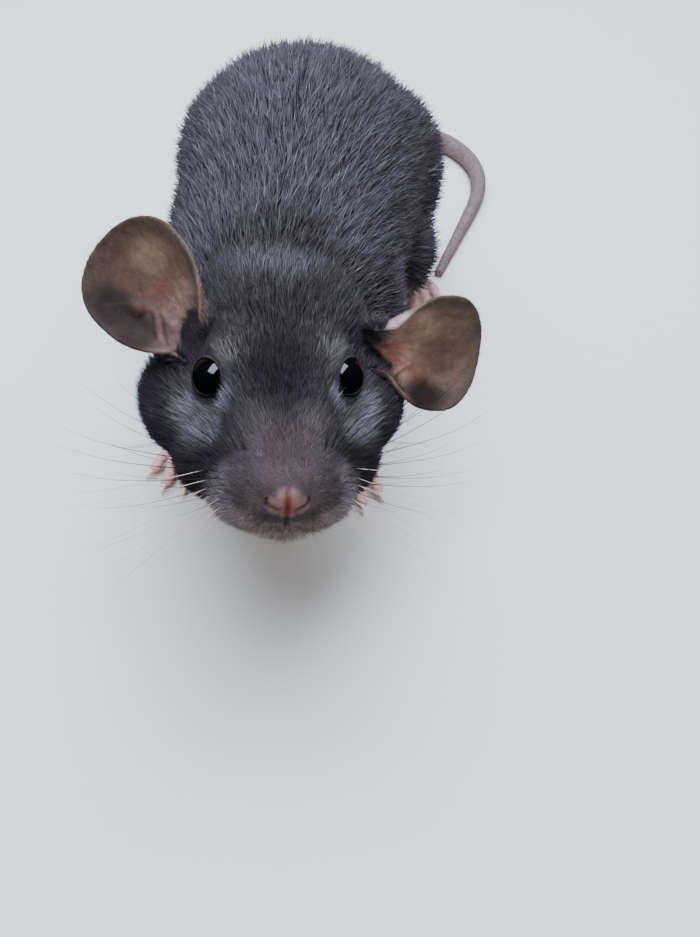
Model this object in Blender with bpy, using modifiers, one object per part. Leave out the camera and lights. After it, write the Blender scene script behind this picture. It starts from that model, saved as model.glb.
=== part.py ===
"""A young pet rat, life size, standing on all four feet with its head raised and its tail curled beside it.

Metres, +Z up. The rat faces -Y and its left side is +X. The flesh is modelled as one soft form,
melted together from lofts, ellipsoids and tubes, and then parted with thin cuts into head, neck,
torso and legs. Feet, ears, eyes and the lengths of the tail are modelled on their own and meet it
face to face. The solids hold the outer surface of the coat.
"""

import math

import bmesh
import bpy
from mathutils import Matrix, Vector
from mathutils.bvhtree import BVHTree

# Tables of sizes are in millimetres
MM = 0.001
GAP = 0.3 * MM
SIDES = {"left": 1, "right": -1}

# How the flesh is melted together, and about how many triangles it keeps
FLESH_VOXEL = 0.8 * MM
FLESH_SMOOTHING = 22
FLESH_TRIANGLES = 4600

# The torso, from inside the head to the root of the tail: y, z, half width, half height
TORSO = (
    (-12, 33, 15, 14),
    (-3, 32.4, 17.6, 16.2),
    (6, 31.4, 19.2, 17.8),
    (16, 30.8, 20.5, 19.4),
    (28, 31.2, 22.3, 21.6),
    (40, 32.2, 23.8, 23.4),
    (52, 31.8, 24.6, 23.8),
    (64, 28.8, 23, 21),
    (74.5, 23.8, 17.8, 15.8),
    (82, 18.8, 11.4, 10.4),
    (88, 15, 6, 6),
)

# The head has its own frame: its origin is midway between the eyes, and the snout points to -Y
NECK_PIVOT = Vector((0, -3, 34)) * MM
HEAD_REACH = 22 * MM
HEAD_RISE = 3 * MM
HEAD_TURN = math.radians(12)
HEAD_LIFT = math.radians(10)
HEAD_TILT = math.radians(2.6)
SKULL = (
    (23, -3, 17, 14.6),
    (14, -2.2, 16.4, 14),
    (6.5, -2.2, 13.2, 12.4),
    (0.5, -3.2, 10, 10.4),
    (-5.5, -5.2, 8.6, 9.2),
    (-10.5, -7, 8.4, 8.4),
    (-14.8, -7.9, 7.9, 7.2),
    (-19, -7.5, 6, 5.8),
)
CHEEK = ((10.6, 8.5, -8.6), (9.8, 12.5, 9))
JOWL = ((7.8, 0.5, -11), (8, 12, 6.8))
WHISKER_PAD = ((5.1, -11, -9.8), (4.9, 7.2, 5.8))
CHIN = ((0, -7, -14.6), (5.8, 9.5, 4.4))
BROW = ((5.8, 3, 3.6), (4, 6, 3.8))
HEAD_FRONT = 60
HEAD_BACK = 15

# Nose, mouth and lids, in the head's frame
NOSE = ((0, -17.8, -5.9), (3.4, 2.1, 2.6))
NOSTRIL = ((1.9, -19.4, -6.4), (0.75, 1.3, 0.65))
NOSTRIL_SLANT = math.radians(35)
MOUTH_CORNER = (6.2, -9, -13.8)
MOUTH_FRONT = (0, -17.5, -11.6)
MOUTH_SAG = 0.8
MOUTH_POINTS = 9
CREASE_RADIUS = 0.34

EYE_RADIUS = 3.1
EYE_PLACE = (8.9, 0, 0.4)
EYE_OUTWARD = math.radians(54)
EYE_UPWARD = math.radians(20)
LID_RING = 3.05
LID_THICKNESS = 0.6
LID_FORWARD = 0.5

# Shoulders, haunches and legs
SHOULDER = ((12, 12, 27), (9.5, 14, 15))
ELBOW = ((15.5, 14, 17), (6.4, 9.5, 8.5))
FOREARM = ((16.8, 15, 15, 5.6), (16.4, 7, 11, 4.2), (15.8, 0, 6.4, 3.1), (15.2, -9, 0.8, 3.1))
HAUNCH = ((15, 59, 26), (12.6, 19, 16.6))
KNEE = ((20, 45, 17), (7.6, 11, 10))
SHANK = ((22, 47, 15, 6.4), (22.4, 57, 12, 4.8), (22.2, 66, 8.4, 3.7), (22.1, 75, 4.4, 3.7))
FORELEG_REGION = ((19, 8, 13), (11, 17, 16))
HINDLEG_REGION = ((24.6, 58, 18), (13.5, 27.5, 23))
NECK_BACK = 9
WRIST = ((15.8, 0.4, 6.7), (-0.05, -0.83, -0.55))
ANKLE = ((22.3, 66, 8.4), (-0.02, 0.91, -0.41))
JOINT_REACH = 4.2

# Feet: the outline of the sole as y, z, half width and half height, in the foot's own frame,
# which has its origin on the floor under the wrist or heel and its toes to -Y
FOREFOOT = {
    "place": (15.4, 0),
    "splay": math.radians(4),
    "sole": ((1.4, 2.6, 2.1, 2.2), (-0.5, 2.3, 2.9, 2.6), (-3, 2, 3.3, 2.2), (-5.6, 1.7, 3.1, 1.9)),
    "shin": ((0.1, -1.5, 3.2, 2.7), (0.5, 1.8, 7.4, 3.1), (0.6, 4, 8.8, 3.2)),
    "digits": (
        (-2.5, -3.8, 6.0, -24, 0.95),
        (-0.9, -4.8, 7.4, -7, 1.05),
        (0.9, -4.8, 7.4, 7, 1.05),
        (2.5, -3.8, 6.0, 24, 0.95),
    ),
    "claw": 1.9,
}
HINDFOOT = {
    "place": (22.2, 70.5),
    "splay": math.radians(7),
    "sole": (
        (2.2, 3.2, 2, 2.2),
        (-1, 3, 3, 3.2),
        (-8, 2.4, 3.1, 2.5),
        (-16, 2.2, 4, 2.2),
        (-21.5, 1.9, 4.2, 1.9),
    ),
    "shin": ((0, 0.6, 3.6, 3), (0, -2.6, 7.2, 3.3), (0.1, -7, 9.4, 3.7)),
    "digits": (
        (-3.4, -16, 6.2, -26, 1.05),
        (-2.6, -20.4, 9.4, -9, 1.2),
        (-0.3, -21, 10.2, -1, 1.25),
        (2, -20.4, 9.6, 7, 1.2),
        (3.5, -16.6, 7.4, 22, 1.1),
    ),
    "claw": 2.4,
}
FLOOR_DEPTH = 20

# Ears: a rounded leaf that curls into a funnel at its root, in the ear's own frame, with its tip
# to +Z and its mouth to -Y. Each section has its height, half width and half angle of curl.
EAR_LENGTH = 18
EAR_SECTIONS = (
    (0, 3.7, 120),
    (0.1, 5.0, 99),
    (0.22, 6.7, 78),
    (0.36, 8.0, 60),
    (0.52, 8.6, 48),
    (0.68, 8.6, 39),
    (0.81, 7.7, 32),
    (0.91, 5.9, 27),
    (0.97, 3.8, 24),
    (1, 1.6, 22),
)
EAR_COLUMNS = 10
EAR_FORWARD_BEND = 1.6
EAR_THICKNESS = 0.7
EAR_PLACE = {"left": (14.8, 10.4, -0.6), "right": (11.1, 10.8, 1.5)}
EAR_TILT = {"left": math.radians(103), "right": math.radians(51)}
EAR_LEAN = math.radians(20)
EAR_OUTWARD = math.radians(18)

# The tail: it leaves the rump, comes down to the floor and curls along the left side
TAIL_ROOT = (0, 81, 17)
TAIL_LENGTH = 124
TAIL_RADII = (4.2, 1.0)
TAIL_DROP = 26
TAIL_CURL = math.radians(196)
TAIL_CURL_FROM = 0.06
TAIL_CURL_TO = 0.8
TAIL_PIECES = 4
TAIL_RINGS = 14
TAIL_SIDES = 12
TAIL_SINK = 0.93

COAT = (0.075, 0.072, 0.08, 1)
SKIN = (0.72, 0.46, 0.42, 1)
EAR_SKIN = (0.3, 0.24, 0.19, 1)
TAIL_SKIN = (0.34, 0.27, 0.27, 1)
EYE_COLOUR = (0.006, 0.006, 0.008, 1)


def new_object(name, mesh):
    obj = bpy.data.objects.new(name, mesh)
    bpy.context.scene.collection.objects.link(obj)
    return obj


def faced_outwards(bm):
    """Turns the faces of a closed form outwards, by the sign of its volume."""
    bmesh.ops.recalc_face_normals(bm, faces=bm.faces)
    if bm.calc_volume(signed=True) < 0:
        bmesh.ops.reverse_faces(bm, faces=bm.faces)


def from_bmesh(name, bm):
    mesh = bpy.data.meshes.new(name)
    faced_outwards(bm)
    bm.to_mesh(mesh)
    bm.free()
    return new_object(name, mesh)


def mirrored(place, side):
    """A place given for the left side, on the side that +1 or -1 names."""
    return Vector((place[0] * side, *place[1:]))


def turned_to(direction, place):
    """A frame at a place in millimetres, with its Z axis along a direction."""
    turn = Vector(direction).to_track_quat("Z", "Y").to_matrix().to_4x4()
    return Matrix.Translation(Vector(place) * MM) @ turn


def ellipsoid(name, place, radii, frame=Matrix.Identity(4), grow=0.0, rings=12):
    bm = bmesh.new()
    bmesh.ops.create_uvsphere(bm, u_segments=2 * rings, v_segments=rings, radius=1)
    size = Matrix.Diagonal(Vector(radii) * MM + Vector((grow,) * 3)).to_4x4()
    bm.transform(frame @ Matrix.Translation(Vector(place) * MM) @ size)
    return from_bmesh(name, bm)


def block(name, low, high, frame=Matrix.Identity(4)):
    """A box from its lowest corner to its highest, in the frame's own axes."""
    low, high = Vector(low) * MM, Vector(high) * MM
    bm = bmesh.new()
    bmesh.ops.create_cube(bm, size=1)
    size = Matrix.Diagonal(high - low).to_4x4()
    bm.transform(frame @ Matrix.Translation((low + high) / 2) @ size)
    return from_bmesh(name, bm)


def bridged(name, rings):
    """A closed form through rings of points, which all have the same number of points."""
    bm = bmesh.new()
    rows = [[bm.verts.new(point) for point in ring] for ring in rings]
    for near, far in zip(rows, rows[1:]):
        for k in range(len(near)):
            bm.faces.new((near[k], near[k - 1], far[k - 1], far[k]))
    bm.faces.new(rows[0])
    bm.faces.new(reversed(rows[-1]))
    return from_bmesh(name, bm)


def loft(name, stations, frame=Matrix.Identity(4), around=16, softness=2):
    """A soft closed form through sections across Y, each given as y, z, half width and half height."""
    turns = [2 * math.pi * k / around for k in range(around)]
    rings = [
        [
            frame @ (Vector((wide * math.cos(a), y, z + high * math.sin(a))) * MM)
            for a in turns
        ]
        for y, z, wide, high in stations
    ]
    obj = bridged(name, rings)
    soften = obj.modifiers.new("soften", "SUBSURF")
    soften.levels = soften.render_levels = softness
    return settled(obj)


def tube(name, points, frame=Matrix.Identity(4), resolution=3, closed=False):
    """A round bar, or a ring if closed, through points given as x, y, z and radius."""
    curve = bpy.data.curves.new(name, "CURVE")
    curve.dimensions = "3D"
    curve.bevel_depth = MM
    curve.bevel_resolution = resolution
    curve.use_fill_caps = not closed
    spline = curve.splines.new("POLY")
    spline.use_cyclic_u = closed
    spline.points.add(len(points) - 1)
    for point, (x, y, z, radius) in zip(spline.points, points):
        point.co = (x * MM, y * MM, z * MM, 1)
        point.radius = radius
    guide = new_object(name, curve)
    guide.matrix_world = frame
    return settled(guide)


def settled(obj):
    """The object's evaluated shape as a plain mesh object in world space, in its place."""
    bpy.context.view_layer.update()
    graph = bpy.context.evaluated_depsgraph_get()
    mesh = bpy.data.meshes.new_from_object(obj.evaluated_get(graph), depsgraph=graph)
    mesh.transform(obj.matrix_world)
    bm = bmesh.new()
    bm.from_mesh(mesh)
    bmesh.ops.remove_doubles(bm, verts=bm.verts, dist=0.00001 * MM)
    faced_outwards(bm)
    bm.to_mesh(mesh)
    bm.free()
    name = obj.name
    bpy.data.objects.remove(obj)
    return new_object(name, mesh)


def joined(name, pieces):
    """The pieces' meshes as one object, not yet fused."""
    bm = bmesh.new()
    for piece in pieces:
        bm.from_mesh(piece.data)
        bpy.data.objects.remove(piece)
    return from_bmesh(name, bm)


def melted(name, pieces, voxel, smoothing, triangles):
    """Overlapping pieces melted into one soft surface with about this many triangles."""
    obj = joined(name, pieces)
    remesh = obj.modifiers.new("melt", "REMESH")
    remesh.mode = "VOXEL"
    remesh.voxel_size = voxel
    smooth = obj.modifiers.new("smooth", "SMOOTH")
    smooth.factor = 0.5
    smooth.iterations = smoothing
    obj = settled(obj)
    thin = obj.modifiers.new("thin out", "DECIMATE")
    thin.ratio = min(1.0, triangles / (2 * len(obj.data.polygons)))
    thin.use_collapse_triangulate = True
    return settled(obj)


def combined(obj, others, operation):
    """A Boolean with a collection of the other objects, which are then removed."""
    name = obj.name
    group = bpy.data.collections.new("operands")
    bpy.context.scene.collection.children.link(group)
    for other in others:
        bpy.context.scene.collection.objects.unlink(other)
        group.objects.link(other)
    step = obj.modifiers.new(operation.lower(), "BOOLEAN")
    step.operation = operation
    step.operand_type = "COLLECTION"
    step.collection = group
    step.solver = "EXACT"
    obj = settled(obj)
    for other in others:
        bpy.data.objects.remove(other)
    bpy.data.collections.remove(group)
    obj.name = name
    return largest(obj)


def largest(obj):
    """Keeps the largest closed surface of a mesh."""
    bm = bmesh.new()
    bm.from_mesh(obj.data)
    left, islands = set(bm.verts), []
    while left:
        island, edge = set(), [next(iter(left))]
        while edge:
            vert = edge.pop()
            if vert not in island:
                island.add(vert)
                edge.extend(link.other_vert(vert) for link in vert.link_edges)
        left -= island
        islands.append(island)
    islands.sort(key=len)
    for scrap in islands[:-1]:
        bmesh.ops.delete(bm, geom=list(scrap), context="VERTS")
    bm.to_mesh(obj.data)
    bm.free()
    return obj


def grown(obj):
    """A copy of a node, larger by the gap all round, to cut its neighbour with."""
    copy = new_object("grown", obj.data.copy())
    swell = copy.modifiers.new("swell", "DISPLACE")
    swell.mid_level = 0
    swell.strength = GAP
    return settled(copy)


def parted(whole, name, region):
    """Cuts a node off the whole: what lies in region(0) is the node, and the rest stays a thin gap away."""
    node = combined(new_object(name, whole.data.copy()), [region(0)], "INTERSECT")
    return combined(whole, [region(GAP / MM)], "DIFFERENCE"), node


def head_frame():
    turn = Matrix.Rotation(HEAD_TURN, 4, "Z") @ Matrix.Rotation(-HEAD_LIFT, 4, "X")
    turn = turn @ Matrix.Rotation(HEAD_TILT, 4, "Y")
    return Matrix.Translation(NECK_PIVOT) @ turn @ Matrix.Translation((0, -HEAD_REACH, HEAD_RISE))


def flesh():
    """Head, neck, torso and legs as one soft form."""
    head = head_frame()
    pieces = [
        loft("torso form", TORSO),
        loft("skull form", SKULL, head),
        ellipsoid("chin form", *CHIN, head),
    ]
    for side in SIDES.values():
        for place, radii in (CHEEK, JOWL, WHISKER_PAD, BROW):
            pieces.append(ellipsoid("face form", mirrored(place, side), radii, head))
        for place, radii in (SHOULDER, ELBOW, HAUNCH, KNEE):
            pieces.append(ellipsoid("limb form", mirrored(place, side), radii))
        for path in (FOREARM, SHANK):
            pieces.append(tube("limb form", [(x * side, y, z, r) for x, y, z, r in path]))
    return melted("torso", pieces, FLESH_VOXEL, FLESH_SMOOTHING, FLESH_TRIANGLES)


def joint_block(joint, side, start):
    """The space past a wrist or ankle, from start millimetres beyond its plane."""
    place, direction = joint
    frame = turned_to(mirrored(direction, side), mirrored(place, side))
    reach = JOINT_REACH
    return block("past joint", (-reach, -reach, start), (reach, reach, start + 4 * reach), frame)


def legs(whole):
    """Parts the four legs from the whole and ends each flat at its wrist or ankle."""
    for side_name, side in SIDES.items():
        for name, (place, radii), joint in (
            ("foreleg", FORELEG_REGION, WRIST),
            ("hindleg", HINDLEG_REGION, ANKLE),
        ):
            middle = mirrored(place, side)
            whole, leg = parted(
                whole,
                f"{name}_{side_name}",
                lambda grow: ellipsoid("region", middle, radii, grow=grow * MM, rings=9),
            )
            combined(leg, [joint_block(joint, side, 0)], "DIFFERENCE")
    return whole


def eye_frame(side):
    """An eye's frame, with its Z axis along the way that the eye looks."""
    outward, upward = EYE_OUTWARD, EYE_UPWARD
    look = (
        side * math.sin(outward) * math.cos(upward),
        -math.cos(outward) * math.cos(upward),
        math.sin(upward),
    )
    return head_frame() @ turned_to(look, mirrored(EYE_PLACE, side))


def lid(side):
    """The ring of both lids round an eye."""
    points = 18
    ring = [
        (LID_RING * math.cos(a), LID_RING * math.sin(a), LID_FORWARD, LID_THICKNESS)
        for a in (2 * math.pi * k / points for k in range(points))
    ]
    return tube("lid", ring, eye_frame(side), resolution=1, closed=True)


def crease(name, points, surface):
    """A groove's cutter: a thin bar whose points are moved to the nearest place on the surface."""
    frame = head_frame()
    tree = BVHTree.FromObject(surface, bpy.context.evaluated_depsgraph_get())
    laid = [tree.find_nearest(frame @ (Vector(p) * MM))[0] / MM for p in points]
    return tube(name, [(*p, CREASE_RADIUS) for p in laid], resolution=1)


def mouth_line():
    """Points from one corner of the mouth round the front of the muzzle to the other corner."""
    corner, front = Vector(MOUTH_CORNER), Vector(MOUTH_FRONT)
    points = []
    for k in range(MOUTH_POINTS):
        a = math.pi * k / (MOUTH_POINTS - 1)
        across = corner.x * math.cos(a)
        forward = math.sin(a) ** 0.8
        point = corner.lerp(front, forward)
        points.append((across, point.y, point.z - MOUTH_SAG * math.sin(2 * a) ** 2))
    return points


def finish_head(head):
    """Adds nose and lids, and cuts the eye sockets, the nostrils, the mouth and the groove above it."""
    frame = head_frame()
    bpy.context.view_layer.update()
    creases = [
        crease("mouth", mouth_line(), head),
        crease("philtrum", [(0, -18.8, -8.2), (0, -18.2, -9.8), MOUTH_FRONT], head),
    ]
    head = combined(head, [ellipsoid("nose", *NOSE, frame, rings=8), lid(1), lid(-1)], "UNION")
    cutters = list(creases)
    for side in SIDES.values():
        slant = Matrix.Rotation(-side * NOSTRIL_SLANT, 4, "Y")
        middle = Matrix.Translation(mirrored(NOSTRIL[0], side) * MM)
        cutters.append(ellipsoid("nostril", (0, 0, 0), NOSTRIL[1], frame @ middle @ slant, rings=6))
        socket = (EYE_RADIUS + GAP / MM,) * 3
        cutters.append(ellipsoid("socket", mirrored(EYE_PLACE, side), socket, frame, rings=9))
    return combined(head, cutters, "DIFFERENCE")


def eyes():
    for side_name, side in SIDES.items():
        ellipsoid(f"eye_{side_name}", (0, 0, 0), (EYE_RADIUS,) * 3, eye_frame(side), rings=9)


def ear_frame(side_name, side):
    tilt = Matrix.Rotation(side * EAR_TILT[side_name], 4, "Y")
    lean = Matrix.Rotation(-EAR_LEAN, 4, "X")
    outward = Matrix.Rotation(side * EAR_OUTWARD, 4, "Z")
    place = Matrix.Translation(mirrored(EAR_PLACE[side_name], side) * MM)
    return head_frame() @ place @ outward @ lean @ tilt


def ear_section(fraction, half_width, half_curl):
    """Points across the ear at one height, along an arc that is open to the front."""
    half_curl = math.radians(half_curl)
    radius = half_width / math.sin(min(half_curl, math.pi / 2))
    middle = -EAR_FORWARD_BEND * fraction**2
    turns = [half_curl * (2 * k / EAR_COLUMNS - 1) for k in range(EAR_COLUMNS + 1)]
    return [
        Vector((radius * math.sin(a), middle - radius * (1 - math.cos(a)), EAR_LENGTH * fraction)) * MM
        for a in turns
    ]


def ear(side_name, side, head):
    frame = ear_frame(side_name, side)
    bm = bmesh.new()
    rows = [[bm.verts.new(frame @ point) for point in ear_section(*size)] for size in EAR_SECTIONS]
    for low, high in zip(rows, rows[1:]):
        for k in range(EAR_COLUMNS):
            bm.faces.new((low[k], low[k + 1], high[k + 1], high[k]))
    leaf = new_object(f"ear_{side_name}", bpy.data.meshes.new("leaf"))
    bm.to_mesh(leaf.data)
    bm.free()
    shell = leaf.modifiers.new("shell", "SOLIDIFY")
    shell.thickness = EAR_THICKNESS * MM
    shell.offset = 0
    combined(settled(leaf), [grown(head)], "DIFFERENCE")


def digit(base, length, heading, radius, claw, frame):
    """A toe with its knuckle raised, and the claw that it ends in."""
    x, y, z = base
    heading = math.radians(heading)
    step = Vector((math.sin(heading), -math.cos(heading), 0))
    heights = ((0, z, 1.15), (0.4, z + 0.5, 1), (0.8, 1.1, 1), (1, 0.95, 0.72))
    points = [(*(Vector((x, y, 0)) + step * length * t).xy, h, radius * r) for t, h, r in heights]
    tip = Vector(points[-1][:3])
    claws = [(0, 0.1, 0.52), (0.5, 0.15, 0.36), (1, -0.4, 0.1)]
    nail = [(*(tip + step * claw * (t - 0.2)).xy, tip.z + h, r) for t, h, r in claws]
    return [tube("toe", points, frame, 1), tube("claw", nail, frame, 0)]


def foot(name, side, sizes, joint):
    """A foot flat on the floor: sole, toes, claws, and the stump that meets the leg."""
    x, y = sizes["place"]
    place = Matrix.Translation(Vector((side * x, y, 0)) * MM)
    frame = place @ Matrix.Rotation(side * sizes["splay"], 4, "Z")
    sole = loft(name, sizes["sole"], frame, around=10, softness=1)
    pieces = [tube("stump", [(side * u, *rest) for u, *rest in sizes["shin"]], frame)]
    for across, forward, length, heading, radius in sizes["digits"]:
        base = (side * across, forward, 1.9)
        pieces += digit(base, length, side * heading, radius, sizes["claw"], frame)
    whole = combined(sole, pieces, "UNION")
    place, direction = joint
    behind = turned_to(-mirrored(direction, side), mirrored(place, side))
    reach = JOINT_REACH
    cutters = [
        block("before joint", (-reach, -reach, -GAP / MM), (reach, reach, 2 * reach), behind),
        block("floor", (-FLOOR_DEPTH * 9, -FLOOR_DEPTH * 9, -FLOOR_DEPTH), (FLOOR_DEPTH * 9, FLOOR_DEPTH * 9, 0)),
    ]
    return combined(whole, cutters, "DIFFERENCE")


def ease(t):
    t = min(1.0, max(0.0, t))
    return t * t * (3 - 2 * t)


def tail_line(count):
    """Points and radii along the tail, in millimetres: it comes down to the floor and curls to the left."""
    root_radius, tip_radius = TAIL_RADII
    step = TAIL_LENGTH / (count - 1)
    x, y, z = TAIL_ROOT
    line = []
    for k in range(count):
        t = k / (count - 1)
        radius = root_radius + (tip_radius - root_radius) * t**0.85
        floor = radius * TAIL_SINK
        height = floor + (z - TAIL_SINK * root_radius) * (1 - ease(t * TAIL_LENGTH / TAIL_DROP))
        line.append((Vector((x, y, height)), radius))
        heading = TAIL_CURL * ease((t - TAIL_CURL_FROM) / (TAIL_CURL_TO - TAIL_CURL_FROM))
        x += step * math.sin(heading)
        y += step * math.cos(heading)
    return line


def tail(torso):
    """The tail in a few lengths, each flat under where it lies on the floor."""
    per_piece = TAIL_RINGS
    line = tail_line(TAIL_PIECES * per_piece + 1)
    for piece in range(TAIL_PIECES):
        stretch = line[piece * per_piece : (piece + 1) * per_piece + 1]
        rings = []
        for k, (point, radius) in enumerate(stretch):
            before, after = stretch[max(k - 1, 0)][0], stretch[min(k + 1, per_piece)][0]
            along = (after - before).normalized()
            across = along.cross(Vector((0, 0, 1))).normalized()
            up = across.cross(along)
            shift = along * (GAP / MM) if k == 0 else Vector()
            ring = []
            for j in range(TAIL_SIDES):
                a = 2 * math.pi * j / TAIL_SIDES
                spot = point + shift + (across * math.cos(a) + up * math.sin(a)) * radius
                ring.append(Vector((spot.x, spot.y, max(spot.z, 0))) * MM)
            rings.append(ring)
        length = bridged(f"tail_{piece + 1}", rings)
        if piece == 0:
            combined(length, [grown(torso)], "DIFFERENCE")


def dressed(collection):
    """Gives each node its material and its own origin, and stands them all on the origin."""
    kinds = {
        "coat": (COAT, 0.85, ("head", "neck", "torso", "foreleg", "hindleg")),
        "skin": (SKIN, 0.5, ("forefoot", "hindfoot")),
        "ear skin": (EAR_SKIN, 0.55, ("ear",)),
        "tail skin": (TAIL_SKIN, 0.6, ("tail",)),
        "eye": (EYE_COLOUR, 0.05, ("eye",)),
    }
    nodes = [obj for obj in bpy.context.scene.objects if obj.type == "MESH"]
    corners = [corner for obj in nodes for corner in (v.co for v in obj.data.vertices)]
    low, high = (Vector(pick(c[k] for c in corners) for k in range(3)) for pick in (min, max))
    stand = bpy.data.objects.new("rat", None)
    collection.objects.link(stand)
    stand.location = -Vector(((low.x + high.x) / 2, (low.y + high.y) / 2, low.z))
    for obj in nodes:
        look = bpy.data.materials.new(obj.name)
        look.use_nodes = True
        shader = look.node_tree.nodes["Principled BSDF"]
        colour, roughness, _ = next(k for k in kinds.values() if obj.name.startswith(k[2]))
        shader.inputs["Base Color"].default_value = colour
        shader.inputs["Roughness"].default_value = roughness
        obj.data.materials.clear()
        obj.data.materials.append(look)
        obj.data.shade_smooth()
        obj.data.set_sharp_from_angle(angle=math.radians(50))
        middle = sum((Vector(corner) for corner in obj.bound_box), Vector()) / 8
        obj.data.transform(Matrix.Translation(-middle))
        obj.location = middle
        obj.parent = stand
        bpy.context.scene.collection.objects.unlink(obj)
        collection.objects.link(obj)


def main():
    for obj in list(bpy.data.objects):
        bpy.data.objects.remove(obj)
    whole = legs(flesh())
    head = head_frame()
    whole, skull = parted(
        whole,
        "head",
        lambda grow: block("region", (-60, -HEAD_FRONT, -60), (60, HEAD_BACK + grow, 60), head),
    )
    torso, _ = parted(
        whole,
        "neck",
        lambda grow: block("region", (-60, -90, -60), (60, NECK_BACK + grow, 90)),
    )
    skull = finish_head(skull)
    eyes()
    for side_name, side in SIDES.items():
        ear(side_name, side, skull)
        foot(f"forefoot_{side_name}", side, FOREFOOT, WRIST)
        foot(f"hindfoot_{side_name}", side, HINDFOOT, ANKLE)
    tail(torso)
    collection = bpy.data.collections.new("pet_rat")
    bpy.context.scene.collection.children.link(collection)
    dressed(collection)


main()
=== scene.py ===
"""The looks of a young pet rat: one skin under a coat of short tufts, with whiskers, eyes and claws.

The skin is made from the same forms as the solids. They are drawn in by the coat's depth, melted
together, and refined where the face needs it. Tables of sizes are in millimetres, in the solids' own
axes, where the rat faces -Y and its left side is +X. The head, eyes, ears and feet have frames.
"""

import math

import bmesh
import bpy
import numpy as np
from mathutils import Matrix, Vector
from mathutils.bvhtree import BVHTree


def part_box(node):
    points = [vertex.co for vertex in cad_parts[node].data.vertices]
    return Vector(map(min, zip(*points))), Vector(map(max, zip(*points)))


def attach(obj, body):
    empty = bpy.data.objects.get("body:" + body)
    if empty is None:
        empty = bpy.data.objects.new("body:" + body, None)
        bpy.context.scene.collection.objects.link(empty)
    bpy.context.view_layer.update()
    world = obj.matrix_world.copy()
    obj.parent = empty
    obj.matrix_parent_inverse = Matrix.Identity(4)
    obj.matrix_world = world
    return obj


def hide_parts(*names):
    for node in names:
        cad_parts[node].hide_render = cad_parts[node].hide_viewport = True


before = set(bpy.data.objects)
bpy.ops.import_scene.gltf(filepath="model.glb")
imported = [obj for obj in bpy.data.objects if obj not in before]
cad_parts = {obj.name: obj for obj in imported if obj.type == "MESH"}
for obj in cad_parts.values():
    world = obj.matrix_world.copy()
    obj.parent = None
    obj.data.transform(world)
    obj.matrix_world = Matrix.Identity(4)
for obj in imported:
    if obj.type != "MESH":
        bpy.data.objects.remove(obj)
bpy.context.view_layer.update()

MM = 0.001
SIDES = {"left": 1, "right": -1}

# The picture: its size and its focal length in pixels, where the middle between the eyes lies in
# it, and how far and from which side the camera looks at that place
PICTURE = (700, 937)
FOCAL = 900
EYES_AT = (279, 380)
CAMERA_DISTANCE = 126.5
CAMERA_AZIMUTH = math.radians(8)
CAMERA_ELEVATION = math.radians(43)

# How the flesh is melted together: the size of the melting grid and how often it is smoothed, for
# the flesh and for the skin, and the share of the covered skin's faces that stay
FLESH_VOXEL = 0.8
FLESH_SMOOTHING = 22
SKIN_VOXEL = 0.29
SKIN_SMOOTHING = 4
COVERED_SKIN_SHARE = 0.07

# Sections of torso and skull: y, z, half width and half height
TORSO = (
    (-12, 33, 15, 14),
    (-3, 32.4, 17.6, 16.2),
    (6, 31.4, 19.2, 17.8),
    (16, 30.8, 20.5, 19.4),
    (28, 31.2, 22.3, 21.6),
    (40, 32.2, 23.8, 23.4),
    (52, 31.8, 24.6, 23.8),
    (64, 28.8, 23, 21),
    (74.5, 23.8, 17.8, 15.8),
    (82, 18.8, 11.4, 10.4),
    (88, 15, 6, 6),
)
NECK_PIVOT = Vector((0, -3, 34)) * MM
HEAD_REACH = 22 * MM
HEAD_RISE = 3 * MM
HEAD_TURN = math.radians(12)
HEAD_LIFT = math.radians(10)
HEAD_TILT = math.radians(2.6)
SKULL = (
    (23, -3, 17, 14.6),
    (14, -2.2, 16.4, 14),
    (6.5, -2.2, 13.2, 12.4),
    (0.5, -3.2, 10, 10.4),
    (-5.5, -5.2, 8.6, 9.2),
    (-10.5, -7, 8.4, 8.4),
    (-14.8, -7.9, 7.9, 7.2),
    (-19, -7.5, 6, 5.8),
)
# Rounds of the face and limbs: middle and reach
CHEEK = ((10.6, 8.5, -8.6), (9.8, 12.5, 9))
JOWL = ((7.8, 0.5, -11), (8, 12, 6.8))
WHISKER_PAD = ((5.1, -11, -9.8), (4.9, 7.2, 5.8))
CHIN = ((0, -7, -14.6), (5.8, 9.5, 4.4))
BROW = ((5.8, 3, 3.6), (4, 6, 3.8))
NOSE = ((0, -17.6, -6.2), (2.6, 1.9, 2.2))
# The bare pad of the nose, seen from the front: middle and reach of each of its rounds
NOSE_PAD = (((0, -6.0), (1.9, 2.1)), ((1.4, -6.9), (1.6, 1.8)), ((0, -7.8), (1.3, 1.6)))
MOUTH_CORNER = (6.2, -9, -13.8)
MOUTH_FRONT = (0, -17.5, -11.6)
MOUTH_SAG = 0.8
MUZZLE_MIDDLE = (0, -8, -9.5)
# A nostril's slit as seen from the front, from its lower end to its upper one
NOSTRIL = ((1.35, -7.7), (2, -7.45), (2.45, -6.8), (2.5, -6))
NOSTRIL_POINTS = 24
# Round these places of the head and of the eyes the skin has finer faces
FINE_NOSE, FINE_EYE = (0, -18, -8), (0, 0, 0.5)

EYE_RADIUS = 3.1
EYE_PLACE = (8.9, 0, 0.4)
EYE_OUTWARD = math.radians(54)
EYE_UPWARD = math.radians(20)

SHOULDER = ((12, 12, 27), (9.5, 14, 15))
ELBOW = ((15.5, 14, 17), (6.4, 9.5, 8.5))
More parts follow.
